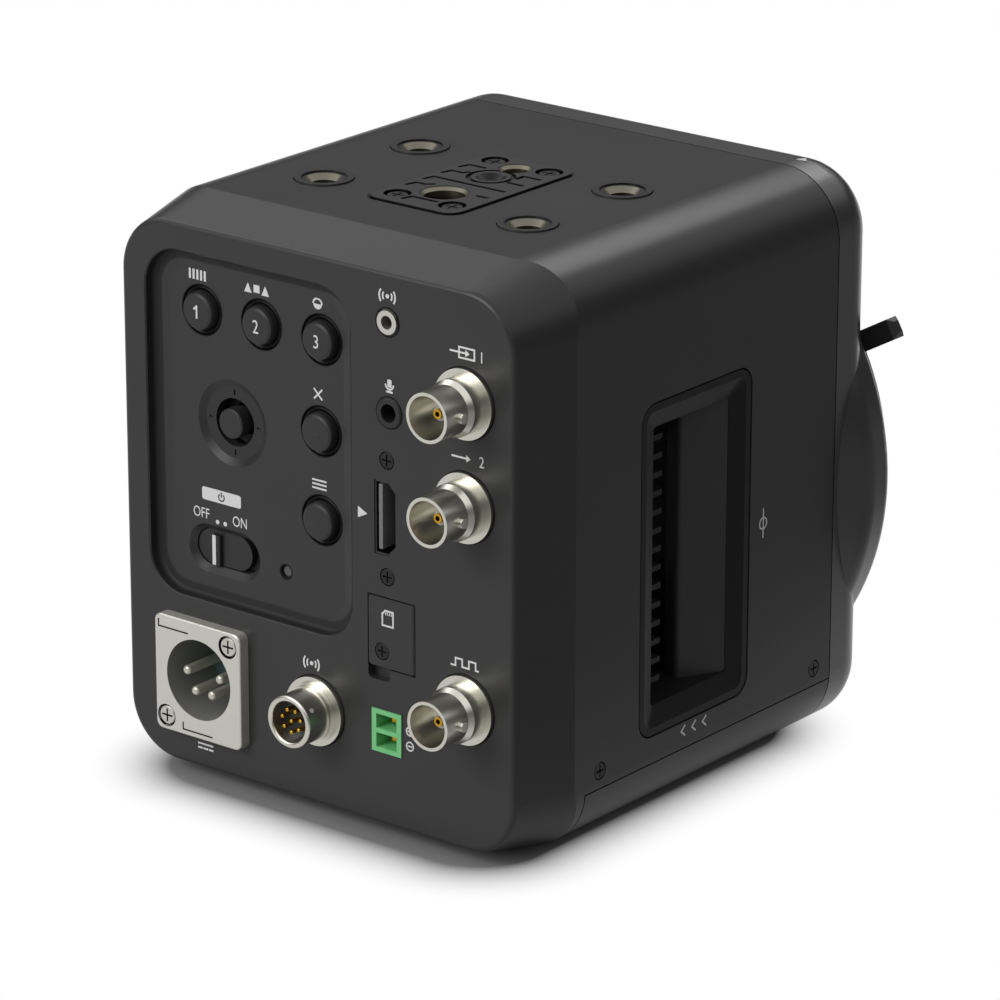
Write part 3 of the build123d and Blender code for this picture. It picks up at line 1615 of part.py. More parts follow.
def main():
    """Build and write every node."""
    os.makedirs("parts", exist_ok=True)
    save("main_casing", main_casing())
    save("base_cover", base_cover())
    save("front_cover", front_cover())
    save("case_screws", case_screws())
    save("lens_mount_ring", lens_mount_ring())
    save("lens_mount_screws", lens_mount_screws())
    save("lens_lock_ring", lens_lock_ring())
    save("mount_contact_block", mount_contact_block())
    save("mount_contact_pins", mount_contact_pins())
    save("light_baffle", light_baffle())
    save("sensor_glass", sensor_glass())
    save("image_sensor", image_sensor())
    save("sensor_board", sensor_board())
    save("sensor_heat_sink", sensor_heat_sink())
    save("inner_frame", inner_frame())
    save("main_board", main_board())
    save("rear_board", rear_board())
    save("fan_frame", fan_frame())
    save("fan_rotor", fan_rotor())
    save("intake_frame", vent_frame())
    save("intake_slats", intake_slats())
    save("intake_deflector", intake_deflector())
    save("outlet_grille", outlet_grille())
    save("top_mount_plate", mount_plate(plate_rise, socket_mouth_chamfer))
    save("base_mount_plate", upside_down(mount_plate(0, 0)))
    save("mount_plate_screws", plate_screws())
    save("mounting_bushings", bushings())
    for name, x, z in button_places():
        save(name, push_button(x, z))
    save("joystick_bezel", joystick_bezel())
    save("joystick_gimbal", joystick_gimbal())
    save("joystick_yoke", joystick_yoke())
    save("joystick_cap", joystick_cap())
    save("power_slider", power_slider())
    save("status_light", status_light())
    save("remote_jack", jack(small_jack_x, small_jack_z, small_jack_radius, small_jack_bore))
    save("microphone_jack", jack(audio_jack_x, audio_jack_z, audio_jack_radius, audio_jack_bore))
    for number, z in enumerate(coax_heights, start=1):
        save(f"coax_connector_{number}", coax_connector(z))
    save("coax_insulators", coax_insulators())
    save("coax_contacts", coax_contacts())
    save("video_port_shell", video_port_shell())
    save("video_port_tongue", video_port_tongue())
    save("card_door", card_door())
    save("card_door_screw", card_door_screw())
    save("card_socket", card_socket())
    save("terminal_block", terminal_block())
    save("terminal_pins", terminal_pins())
    save("control_connector_shell", control_connector_shell())
    save("control_connector_insert", control_connector_insert())
    save("control_connector_pins", control_connector_pins())
    save("power_inlet_plate", power_inlet_plate())
    save("power_inlet_insert", power_inlet_insert())
    save("power_inlet_pins", power_inlet_pins())
    save("power_inlet_screws", power_inlet_screws())


main()
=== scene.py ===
import json
import math

import bpy
import numpy as np
from bpy.props import FloatProperty, FloatVectorProperty, PointerProperty
from bpy.types import Operator, Panel, PropertyGroup
from mathutils import Matrix, Vector


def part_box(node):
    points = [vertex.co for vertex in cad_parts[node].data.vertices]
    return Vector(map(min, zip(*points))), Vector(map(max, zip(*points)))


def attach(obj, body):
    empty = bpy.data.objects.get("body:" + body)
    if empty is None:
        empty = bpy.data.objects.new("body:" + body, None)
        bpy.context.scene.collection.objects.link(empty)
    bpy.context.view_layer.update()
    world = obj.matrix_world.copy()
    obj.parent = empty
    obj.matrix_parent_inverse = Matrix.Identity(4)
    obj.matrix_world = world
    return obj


bl_info = {
    "name": "Box Video Camera Dress",
    "version": (1, 0, 0),
    "blender": (4, 5, 0),
    "location": "View3D > Sidebar > Camera",
    "description": "Finishes, printed signs and a stage for a box video camera",
    "category": "Object",
}

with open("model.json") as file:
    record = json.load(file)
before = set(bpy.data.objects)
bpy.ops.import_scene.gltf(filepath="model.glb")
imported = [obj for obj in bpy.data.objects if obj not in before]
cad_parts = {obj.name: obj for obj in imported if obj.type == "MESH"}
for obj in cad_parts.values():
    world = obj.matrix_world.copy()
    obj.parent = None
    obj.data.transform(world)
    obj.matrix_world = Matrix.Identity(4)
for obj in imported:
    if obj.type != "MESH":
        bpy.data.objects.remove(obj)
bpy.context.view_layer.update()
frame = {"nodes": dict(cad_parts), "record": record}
nodes = frame["nodes"]
MM = 0.001

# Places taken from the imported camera
CASING_LOW, CASING_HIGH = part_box("main_casing")
REAR_Y = CASING_LOW[1]
SIDE_X = CASING_HIGH[0]
TOP_Z = CASING_HIGH[2]
RECESS_FLOOR_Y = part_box("joystick_bezel")[0][1]

# Mounting plates and bushings: sizes that the boxes don't give, here and below
BUSHING_RADIUS = 0.0058
BUSHING_MOUTH = 0.0037
BUSHING_LINE = 0.0045
BIG_SOCKET_Y = -0.0217
BIG_SOCKET_RADIUS = 0.0041
SMALL_SOCKET_RADIUS = 0.0026
SOCKET_RIM = 0.0006
# Depth past which the sockets' metal turns darker as painted shade
SOCKET_SHADE_DEPTH = 0.0022

# Rear panel
# The button radii, the seat and connector lines and the door seam below bound painted shade: rings in the
# seats and at the connectors' feet, and a line in the card door's gap
BUTTON_CAP_RADIUS = 0.00385
BUTTON_SEAT_RADIUS = 0.00495
BUTTON_FLANGE_RADIUS = 0.0054
SEAT_LINE_IN = 0.0001
SEAT_LINE_OUT = 0.0002
CONNECTOR_LINE = 0.0003
DOOR_HALF_HEIGHT = 0.007
DOOR_SEAM_PLACE = 0.0001
DOOR_SEAM_HALF = 0.00015
# The recess box, RECESS_RIM and RECESS_FOOT bound the painted shade on the recess walls
RECESS_MIDDLE = (-0.0165, 0.0, 0.0727)
RECESS_HALF_X = 0.0262
RECESS_HALF_Z = 0.0353
RECESS_RIM = 0.0004
RECESS_FOOT = 0.0003
SLIDER_LINE_DROP = 0.0003
BARREL_RADIUS = 0.00525
BARREL_DOT_OUT = 0.0064
BARREL_DOT_DEG = 33.7
# The inlet's painted shade is weaker within INLET_BORE_RADIUS
INLET_BORE_RADIUS = 0.0085
INLET_FLOOR_REACH = 0.0045
# JACK_RIM_RADIUS and JACK_HOLE_RADIUS bound the remote jack's painted shade
JACK_RIM_RADIUS = 0.0023
JACK_HOLE_RADIUS = 0.0013

# Right side and top
SENSOR_PLANE_Y = 0.01265
INTAKE_ARROWS_DROP = 0.0021
RELEASE_MARK_X = 0.0388
RELEASE_MARK_Y = 0.0052

# Drawing: signs stand SIGN_RISE out of a surface and reach SIGN_ROOT into it, and SOFT softens painted edges
SIGN_RISE = 0.00003
SIGN_ROOT = 0.00002
SIGN_LAYER = 0.000001
SYMBOL_RISE = 0.00005
DIGIT_NARROW = 0.85
WORD_NARROW = 0.8
SOFT = 0.00006
SMOOTH_DEG = 35.0
PAINT_IOR = 1.45

# Stage: the shine values say where glossy surfaces see the surroundings and the floor change
LIGHT_TARGET = (0.0, 0.0, 0.07)
FLOOR_REACH = 6.0
SHINE_HEIGHT = 0.42
SHINE_BLEND = 0.16
FLOOR_SHINE_EDGE = 0.03
FLOOR_SHINE_BLEND = 0.06

BUTTONS = ("button_1", "button_2", "button_3", "cancel_button", "menu_button")
CONNECTORS = ("coax_connector_1", "coax_connector_2", "coax_connector_3", "control_connector_shell",
              "remote_jack", "microphone_jack", "status_light")

# Filled by the finishes operator
FINISHES = {}
NODE_FINISHES = {}


def centre_of(node):
    """Middle of a node's box."""
    low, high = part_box(node)
    return [(a + b) / 2 for a, b in zip(low, high)]


def reach_of(node, axis=0):
    """Half of a node's size along one axis, X unless told."""
    low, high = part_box(node)
    return (high[axis] - low[axis]) / 2


class Value:
    """A number that varies over a surface: Python's operators add Math nodes."""

    def __init__(self, tree, socket):
        self.tree = tree
        self.socket = socket

    def maths(self, operation, *others):
        """Math node of one operation, fed by this value and the others."""
        made = self.tree.nodes.new("ShaderNodeMath")
        made.operation = operation
        for slot, value in zip(made.inputs, (self, *others)):
            join(self.tree, slot, value)
        return Value(self.tree, made.outputs[0])

    def __add__(self, other):
        return self.maths("ADD", other)

    def __sub__(self, other):
        return self.maths("SUBTRACT", other)

    def __mul__(self, other):
        return self.maths("MULTIPLY", other)

    def __truediv__(self, other):
        return self.maths("DIVIDE", other)

    def __pow__(self, other):
        return self.maths("POWER", other)

    def __rsub__(self, other):
        return self.maths("MULTIPLY_ADD", -1.0, other)

    __radd__ = __add__
    __rmul__ = __mul__

    def above(self, edge, softness):
        """0 below the edge and 1 above it, with a soft step."""
        return ((self - edge) / softness + 0.5).maths("MINIMUM", 1.0).maths("MAXIMUM", 0.0)

    def near(self, edge, width, softness):
        """1 where the value is within a width of the edge, on either side."""
        return 1.0 - ((self - edge).maths("ABSOLUTE") - width).above(0.0, softness)


def join(tree, slot, value):
    """Sets a socket to a plain value, or links a varying one to it."""
    if isinstance(value, Value):
        tree.links.new(value.socket, slot)
    elif value is not None:
        slot.default_value = value


class Finish:
    """One material: its node tree, its object coordinates and its surface shader."""

    def __init__(self, name):
        self.material = bpy.data.materials.new(name)
        self.material.use_nodes = True
        self.tree = self.material.node_tree
        self.surface = self.tree.nodes["Principled BSDF"]
        self.place = self.node("ShaderNodeTexCoord").outputs["Object"]

    def node(self, kind, settings=None, **sockets):
        """Adds a node, makes its settings, then feeds its sockets (spaces in names are underscores)."""
        made = self.tree.nodes.new(kind)
        for key, value in (settings or {}).items():
            setattr(made, key, value)
        for key, value in sockets.items():
            numbered = key[0] == "n" and key[1:].isdigit()
            slot = made.inputs[int(key[1:]) if numbered else key.replace("_", " ")]
            if isinstance(value, bpy.types.NodeSocket):
                self.tree.links.new(value, slot)
            else:
                join(self.tree, slot, value)
        return made

    def noise(self, size, detail):
        """Cloudy noise between 0 and 1 whose blobs are about size metres across."""
        made = self.node("ShaderNodeTexNoise", Vector=self.place, Scale=1.0 / size, Detail=detail)
        return Value(self.tree, made.outputs["Fac"])

    def axis(self, letter):
        """One object coordinate, in metres."""
        split = self.node("ShaderNodeSeparateXYZ", n0=self.place)
        return Value(self.tree, split.outputs[letter])

    def radius_about(self, centre, along="Y"):
        """Distance from a line through a point, along one axis, in metres."""
        a, b = [k for k in "XYZ" if k != along]
        da = self.axis(a) - centre["XYZ".index(a)]
        db = self.axis(b) - centre["XYZ".index(b)]
        return (da * da + db * db) ** 0.5

    def rings(self, rings):
        """1 within any of several rings about lines along Y, each a centre, an inner and an outer radius."""
        nearest = None
        for centre, inner, outer in rings:
            gap = (self.radius_about(centre) - (inner + outer) / 2).maths("ABSOLUTE") - (outer - inner) / 2
            nearest = gap if nearest is None else nearest.maths("MINIMUM", gap)
        return 1.0 - nearest.above(0.0, SOFT)

    def outside(self, centre, half_x, half_z):
        """How far a place lies outside an upright rectangle about a line along Y; negative inside it."""
        across = (self.axis("X") - centre[0]).maths("ABSOLUTE") - half_x
        up = (self.axis("Z") - centre[2]).maths("ABSOLUTE") - half_z
        return across.maths("MAXIMUM", up)

    def mix(self, amount, first, second):
        """Blend of two colours by a varying amount: a colour mix takes them at sockets 6 and 7."""
        made = self.node("ShaderNodeMix", {"data_type": "RGBA"})
        join(self.tree, made.inputs[0], amount)
        for slot, colour in ((made.inputs[6], first), (made.inputs[7], second)):
            if isinstance(colour, Value):
                join(self.tree, slot, colour)
            else:
                slot.default_value = (*colour, 1.0)
        return Value(self.tree, made.outputs[2])

    def set(self, **constants):
        """Constants of the surface, on the shader's own sockets."""
        for key, value in constants.items():
            self.surface.inputs[key.replace("_", " ")].default_value = value
        return self

    def colour(self, value):
        """Base colour, plain or varying."""
        if isinstance(value, Value):
            self.tree.links.new(value.socket, self.surface.inputs["Base Color"])
        else:
            self.surface.inputs["Base Color"].default_value = (*value, 1.0)
        return self

    def rough(self, value):
        """Roughness, plain or varying."""
        join(self.tree, self.surface.inputs["Roughness"], value)
        return self

    def metal(self, value):
        """Metallic, plain or varying."""
        join(self.tree, self.surface.inputs["Metallic"], value)
        return self

    def bump(self, height, depth, strength):
        """Bump from a varying height, whose full swing is depth metres."""
        made = self.node("ShaderNodeBump", Strength=strength, Distance=depth, Height=height)
        self.tree.links.new(made.outputs[0], self.surface.inputs["Normal"])
        return self


def shade(value):
    """Linear colour of a neutral grey given as an 8-bit screen value."""
    screen = value / 255
    linear = screen / 12.92 if screen <= 0.04045 else ((screen + 0.055) / 1.055) ** 2.4
    return (linear, linear, linear)


def screen_colour(red, green, blue):
    """Linear colour of an 8-bit screen colour."""
    return (shade(red)[0], shade(green)[0], shade(blue)[0])


def toned(colour, steps):
    """A linear colour, so many 8-bit screen steps lighter or darker."""
    screens = [c * 12.92 if c <= 0.0031308 else 1.055 * c ** (1 / 2.4) - 0.055 for c in colour]
    return screen_colour(*[screen * 255 + steps for screen in screens])


def scaled(colour, factor):
    """A linear colour, so many times as bright."""
    return tuple(c * factor for c in colour)


def add_piece(name, points, faces, finish, body):
    """Puts points and faces into the scene, smoothly shaded, as a finished piece that rides on a body."""
    mesh = bpy.data.meshes.new(name)
    mesh.from_pydata(points.tolist(), [], faces)
    mesh.update()
    piece = bpy.data.objects.new(name, mesh)
    bpy.context.scene.collection.objects.link(piece)
    mesh.materials.append(finish.material)
    mesh.shade_smooth()
    mesh.set_sharp_from_angle(angle=math.radians(SMOOTH_DEG))
    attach(piece, body)


def slab(flat, faces, low, high, plane):
    """Closed slab over flat faces that turn left: its points and faces. plane maps (u, v, height) to space.

    The faces are its foot and its top, and a wall stands on each edge that only one face has.
    """
    count = len(flat)
    points = np.vstack([np.column_stack([flat, np.full(count, height)]) for height in (low, high)])
    edges = [edge for face in faces for edge in zip(face, face[1:] + face[:1])]
    either_way = set(edges)
    foot, top = [face[::-1] for face in faces], [[count + i for i in face] for face in faces]
    walls = [[a, b, count + b, count + a] for a, b in edges if (b, a) not in either_way]
    return plane(points), foot + top + walls


def prism(outline, low, high, plane):
    """Closed slab over one flat outline, which may turn either way."""
    outline = np.asarray(outline, float)
    area = np.sum(outline[:, 0] * np.roll(outline[:, 1], -1) - np.roll(outline[:, 0], -1) * outline[:, 1])
    if area < 0:
        outline = outline[::-1]
    return slab(outline, [list(range(len(outline)))], low, high, plane)


def on_rear(y):
    """Maps sign coordinates to the rear: u is X, v is Z, and height stands out towards -Y."""
    return lambda p: np.column_stack([p[:, 0], y - p[:, 2], p[:, 1]])


def on_side(x):
    """Maps sign coordinates to the right side: u is Y, v is Z, and height stands out to +X."""
    return lambda p: np.column_stack([x + p[:, 2], p[:, 0], p[:, 1]])


def on_top(z):
    """Maps sign coordinates to the top, read from behind: u is X, v is Y, height is up."""
    return lambda p: np.column_stack([p[:, 0], p[:, 1], z + p[:, 2]])


def stroke(points, width):
    """Outlines of a line drawn with a square pen: one quad for each run, in millimetres."""
    quads = []
    for a, b in zip(points[:-1], points[1:]):
        a, b = np.array(a, float), np.array(b, float)
        run = (b - a) / np.linalg.norm(b - a)
        side = np.array([-run[1], run[0]]) * width / 2
        end = run * width / 2
        quads.append([a - end - side, b + end - side, b + end + side, a - end + side])
    return quads


def on_circle(x, y, radius, turn):
    """Points on a circle: its middle, plus the radius times the cosine and the sine of each turn."""
    return np.column_stack([x + radius * np.cos(turn), y + radius * np.sin(turn)])


def disc(x, y, radius):
    """Outline of a filled circle, in millimetres."""
    count = 24
    return [on_circle(x, y, radius, np.arange(count) * 2 * np.pi / count)]


def arc(x, y, radius, start_deg, end_deg, width, count=20):
    """Outlines of a curved line: quads between circles half a pen inside and outside, in millimetres."""
    turn = np.radians(np.linspace(start_deg, end_deg, count))
    inner, outer = [on_circle(x, y, radius + side * width / 2, turn) for side in (-1, 1)]
    return [[inner[i], outer[i], outer[i + 1], inner[i + 1]] for i in range(count - 1)]


def sign(name, outlines, at, plane, body="camera", ink="white_ink", rise=SIGN_RISE):
    """A printed sign: each outline, in millimetres about a place in metres, is a thin slab.

    Each slab stands a hair higher than the last, so that no two tops share a plane.
    """
    points, faces = [], []
    for number, outline in enumerate(outlines):
        flat = np.asarray(outline, float) * MM + np.asarray(at, float)
        made, new_faces = prism(flat, -SIGN_ROOT, rise + number * SIGN_LAYER, plane)
        start = sum(len(p) for p in points)
        points.append(made)
        faces += [[start + i for i in face] for face in new_faces]
    add_piece(name, np.vstack(points), faces, FINISHES[ink], body)


def flat_text(words):
    """Points and triangles of plain characters, flat and turning left."""
    curve = bpy.data.curves.new("words", "FONT")
    curve.body = words
    curve.resolution_u = 6
    text = bpy.data.objects.new("words", curve)
    bpy.context.scene.collection.objects.link(text)
    bpy.context.view_layer.update()
    mesh = text.to_mesh()
    points = np.array([vert.co[:2] for vert in mesh.vertices])
    faces = [list(face.vertices) for face in mesh.polygons]
    text.to_mesh_clear()
    bpy.data.objects.remove(text)
    bpy.data.curves.remove(curve)
    return points, faces


def lettering(name, words, height, at, plane, narrow, body="camera"):
    """Plain characters as a thin slab, centred on a place in metres. narrow is their width's share."""
    flat, faces = flat_text(words)
    low, high = flat.min(axis=0), flat.max(axis=0)
    scale = height / (high[1] - low[1])
    flat = (flat - (low + high) / 2) * (scale * narrow, scale) + np.asarray(at, float)
    points, faces = slab(flat, faces, -SIGN_ROOT, SIGN_RISE, plane)
    add_piece(name, points, faces, FINISHES["white_ink"], body)


# Masks of painted shade: each is 1 where shade is painted dark onto a surface

def casing_gaps(finish):
    """Painted shade: dark rings in the seats round the buttons and connectors, a dark line in the gap round
    the card door, and darker recess walls.
    """
    seat = (BUTTON_SEAT_RADIUS - SEAT_LINE_IN, BUTTON_SEAT_RADIUS + SEAT_LINE_OUT)
    rings = [(centre_of(node), *seat) for node in BUTTONS]
    rings += [(centre_of(node), reach_of(node), reach_of(node) + CONNECTOR_LINE) for node in CONNECTORS]
    edge = finish.outside(centre_of("card_door"), reach_of("card_door"), DOOR_HALF_HEIGHT)
    seam = edge.near(DOOR_SEAM_PLACE, DOOR_SEAM_HALF, SOFT)
    # Painted shade: seat rings, the door's gap line and, at 0.6, the recess walls
    return finish.rings(rings).maths("MAXIMUM", seam).maths("MAXIMUM", recess_walls(finish) * 0.6)


def recess_walls(finish):
    """Painted shade on the walls round the recess that holds the buttons."""
    deep = finish.axis("Y") - REAR_Y
    wall = deep.above(RECESS_RIM, SOFT) * (1.0 - deep.above(RECESS_FLOOR_Y - REAR_Y - RECESS_FOOT, SOFT))
    return wall * (1.0 - finish.outside(RECESS_MIDDLE, RECESS_HALF_X, RECESS_HALF_Z).above(0.0, SOFT))


def button_gaps(finish):
    """Painted shade on the buttons' flanges, outside their caps."""
    return finish.rings([(centre_of(node), BUTTON_CAP_RADIUS, BUTTON_FLANGE_RADIUS) for node in BUTTONS])


def inlet_marks(finish):
    """Painted shade in the marks cut into the power inlet's plate and its screws' seats and, less strongly,
    in its bore.
    """
    plate = "power_inlet_plate"
    deep = (finish.axis("Y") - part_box(plate)[0][1]).above(0.0001, SOFT)
    inside = 1.0 - finish.outside(centre_of(plate), reach_of(plate), reach_of(plate, 2)).above(-0.0008, SOFT)
    beside_bore = finish.radius_about(centre_of("power_inlet_insert")).above(INLET_BORE_RADIUS, SOFT)
    return deep * inside * (beside_bore * 0.45 + 0.55)


def screw_cross(finish):
    """Painted shade in the sunken crosses of the power inlet's screws."""
    return (finish.axis("Y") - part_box("power_inlet_screws")[0][1]).above(0.00015, SOFT)


def jack_edge(finish):
    """Painted shade at the outer edge and in the hole of the remote jack."""
    radius = finish.radius_about(centre_of("remote_jack"))
    return radius.above(JACK_RIM_RADIUS, SOFT).maths("MAXIMUM", 1.0 - radius.above(JACK_HOLE_RADIUS, SOFT))


# Finishes: dark, where one is given, is one of the painted shade masks above

def cast_paint(name, colour, grain=0.00026, depth=0.000018, roughness=0.27, dark=None):
    """Satin black paint on a casting: fine even grain and slightly uneven gloss."""
    finish = Finish(name)
    cloud = finish.noise(0.02, 3.0)
    fine = finish.noise(grain, 1.0)
    paint = finish.mix(cloud, toned(colour, -2), toned(colour, 2))
    rough = roughness + cloud * 0.05 - 0.025 + fine * 0.04
    if dark:
        # Painted shade: the mask darkens the paint to near black and roughens it
        gap = dark(finish)
        paint = finish.mix(gap, paint, shade(8))
        rough = rough + gap * 0.5
    finish.colour(paint).rough(rough).bump(fine, depth, 0.6)
    return finish.set(IOR=PAINT_IOR, Specular_IOR_Level=0.3)


def moulded(name, colour, roughness, specular=0.35, dark=None):
    """Moulded plastic with a faint spark-eroded grain."""
    finish = Finish(name)
    fine = finish.noise(0.00012, 1.0)
    plastic = finish.mix(finish.noise(0.006, 2.0), scaled(colour, 0.92), scaled(colour, 1.08))
    if dark:
        # Painted shade: the mask darkens the plastic to near black
        plastic = finish.mix(dark(finish), plastic, shade(10))
    finish.colour(plastic).rough(roughness + fine * 0.08 - 0.04).bump(fine, 0.000008, 0.5)
    return finish.set(IOR=PAINT_IOR, Specular_IOR_Level=specular)


def plated_metal(name, colour, roughness, metallic=1.0, dark=None):
    """Plated metal, smooth and faintly cloudy."""
    finish = Finish(name)
    cloud = finish.noise(0.003, 2.0)
    plating = finish.mix(cloud, scaled(colour, 0.95), colour)
    if dark:
        # Painted shade: the mask darkens the plating and takes its metal away
        gap = dark(finish)
        plating = finish.mix(gap, plating, shade(20))
        metallic = (1.0 - gap) * metallic
    return finish.colour(plating).metal(metallic).rough(roughness + cloud * 0.06 - 0.03)


def ink(name, colour):
    """Printed ink: slightly uneven, matte."""
    finish = Finish(name)
    finish.colour(finish.mix(finish.noise(0.0004, 2.0), toned(colour, -12), toned(colour, 6)))
    return finish.rough(0.6)


def bore_finish():
    """The power inlet's insert: warm grey sides and a bluish green floor."""
    finish = Finish("inlet_bore")
    deep = finish.axis("Y").above(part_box("power_inlet_insert")[1][1] - INLET_FLOOR_REACH, SOFT)
    finish.colour(finish.mix(deep, screen_colour(104, 98, 90), screen_colour(92, 124, 122)))
    return finish.rough(0.45 + finish.noise(0.003, 2.0) * 0.1)


def bushing_finish(colours):
    """Bushings: a plain metal mouth inside a band that is painted as the casing is, with a dark line."""
    finish = Finish("bushing_metal")
    x, y, _ = centre_of("mounting_bushings")
    dx = (finish.axis("X") - x).maths("ABSOLUTE") - (reach_of("mounting_bushings") - BUSHING_RADIUS)
    dy = (finish.axis("Y") - y).maths("ABSOLUTE") - (reach_of("mounting_bushings", 1) - BUSHING_RADIUS)
    radius = (dx * dx + dy * dy) ** 0.5
    painted = radius.above(BUSHING_MOUTH, 0.0001)
    paint = finish.mix(radius.near(BUSHING_LINE, 0.00012, SOFT), tuple(colours.casing), shade(8))
    finish.colour(finish.mix(painted, screen_colour(112, 109, 98), paint)).metal(1.0 - painted)
    return finish.rough(0.36 - painted * 0.09).set(IOR=PAINT_IOR, Specular_IOR_Level=0.3)


def plate_finish(colours):
    """Mounting plates: dark coarse paint, black painted shade in the grooves, and bare metal at the sockets'
    mouths, darker deeper in as painted shade.
    """
    finish = Finish("plate_black")
    fine = finish.noise(0.0003, 1.0)
    big = finish.radius_about((0.0, BIG_SOCKET_Y, 0.0), "Z")
    small = finish.radius_about((0.0, 0.0, 0.0), "Z")
    bare_big = 1.0 - big.above(BIG_SOCKET_RADIUS + SOCKET_RIM, 0.0001)
    bare_small = 1.0 - small.above(SMALL_SOCKET_RADIUS + SOCKET_RIM, 0.0001)
    bare = bare_big.maths("MAXIMUM", bare_small)
    low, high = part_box("base_mount_plate")[0][2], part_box("top_mount_plate")[1][2]
    sunk = (high - low) / 2 - (finish.axis("Z") - (low + high) / 2).maths("ABSOLUTE")
    # Painted shade: the paint turns near black in the grooves
    paint = finish.mix(sunk.above(0.00012, SOFT), toned(colours.casing, -6), shade(5))
    # Painted shade: the sockets' metal turns darker deep inside them
    metal = finish.mix(sunk.above(SOCKET_SHADE_DEPTH, 0.001), screen_colour(118, 114, 102),
                       screen_colour(56, 52, 46))
    finish.colour(finish.mix(bare, paint, metal)).metal(bare)
    finish.rough(0.36 + fine * 0.08).bump(fine, 0.00002, 0.6)
    return finish.set(IOR=PAINT_IOR, Specular_IOR_Level=0.3)


def terminal_finish(colours):
    """Green moulded plastic of the terminal block."""
    finish = Finish("terminal_green")
    cloud = finish.noise(0.002, 2.0)
    finish.colour(finish.mix(cloud, tuple(colours.terminal), tuple(colours.terminal_light)))
    return finish.rough(0.42 + cloud * 0.08)


def coated_glass():
    """Cover glass with a greenish anti-reflection coating."""
    finish = Finish("sensor_glass").colour(screen_colour(60, 90, 100))
    return finish.rough(0.03).set(IOR=1.5, Coat_Weight=1.0, Coat_Roughness=0.02)


def finishes_of_slots(colours):
    """One finish for each of the record's material slots, and the two inks."""
    casing, black = tuple(colours.casing), tuple(colours.plastic)
    front = cast_paint("front_paint", toned(casing, -2))
    return {
        "casing_paint": cast_paint("casing_paint", casing, dark=casing_gaps),
        "front_paint": front.set(IOR=1.5, Specular_IOR_Level=0.8),
        "plate_black": plate_finish(colours),
        "black_screw": moulded("black_screw", shade(26), 0.4),
        "bushing_metal": bushing_finish(colours),
        "mount_steel": plated_metal("mount_steel", shade(200), 0.22),
        "lock_black": cast_paint("lock_black", toned(casing, 2), 0.00025, 0.000008, 0.3),
        "button_black": moulded("button_black", toned(black, 8), 0.4, 0.3, button_gaps),
        "plastic_black": moulded("plastic_black", black, 0.4),
        "vent_black": moulded("vent_black", toned(black, -12), 0.42, 0.2),
        "nickel": plated_metal("nickel", tuple(colours.nickel), 0.3),
        "gold": plated_metal("gold", tuple(colours.gold), 0.26),
        "inlet_metal": plated_metal("inlet_metal", tuple(colours.inlet), 0.3, 0.5, inlet_marks),
        "insert_black": moulded("insert_black", shade(30), 0.3),
        "core_white": moulded("core_white", shade(190), 0.4),
        "light_lens": moulded("light_lens", shade(90), 0.2),
        "board_green": moulded("board_green", shade(40), 0.35),
        "sensor_black": moulded("sensor_black", shade(40), 0.25),
        "sink_metal": plated_metal("sink_metal", shade(190), 0.3),
        "frame_metal": plated_metal("frame_metal", shade(140), 0.5),
        "terminal_green": terminal_finish(colours),
        "sensor_glass": coated_glass(),
        "white_ink": ink("white_ink", tuple(colours.ink)),
        "dark_ink": ink("dark_ink", shade(40)),
    }


def finishes_of_nodes():
    """Finishes of single pieces that differ from the rest of their slot."""
    return {
        "intake_deflector": moulded("deflector_black", shade(62), 0.35, 0.3),
        "power_inlet_screws": plated_metal("inlet_screw", screen_colour(206, 204, 196), 0.28, 0.7,
                                           screw_cross),
        "power_inlet_insert": bore_finish(),
        "power_inlet_pins": plated_metal("inlet_pin", screen_colour(206, 202, 190), 0.3, 0.55),
        "remote_jack": plated_metal("jack_metal", screen_colour(206, 204, 196), 0.25, 0.8, jack_edge),
        "video_port_shell": plated_metal("port_metal", shade(70), 0.35),
        "video_port_tongue": moulded("port_tongue", shade(120), 0.45),
    }


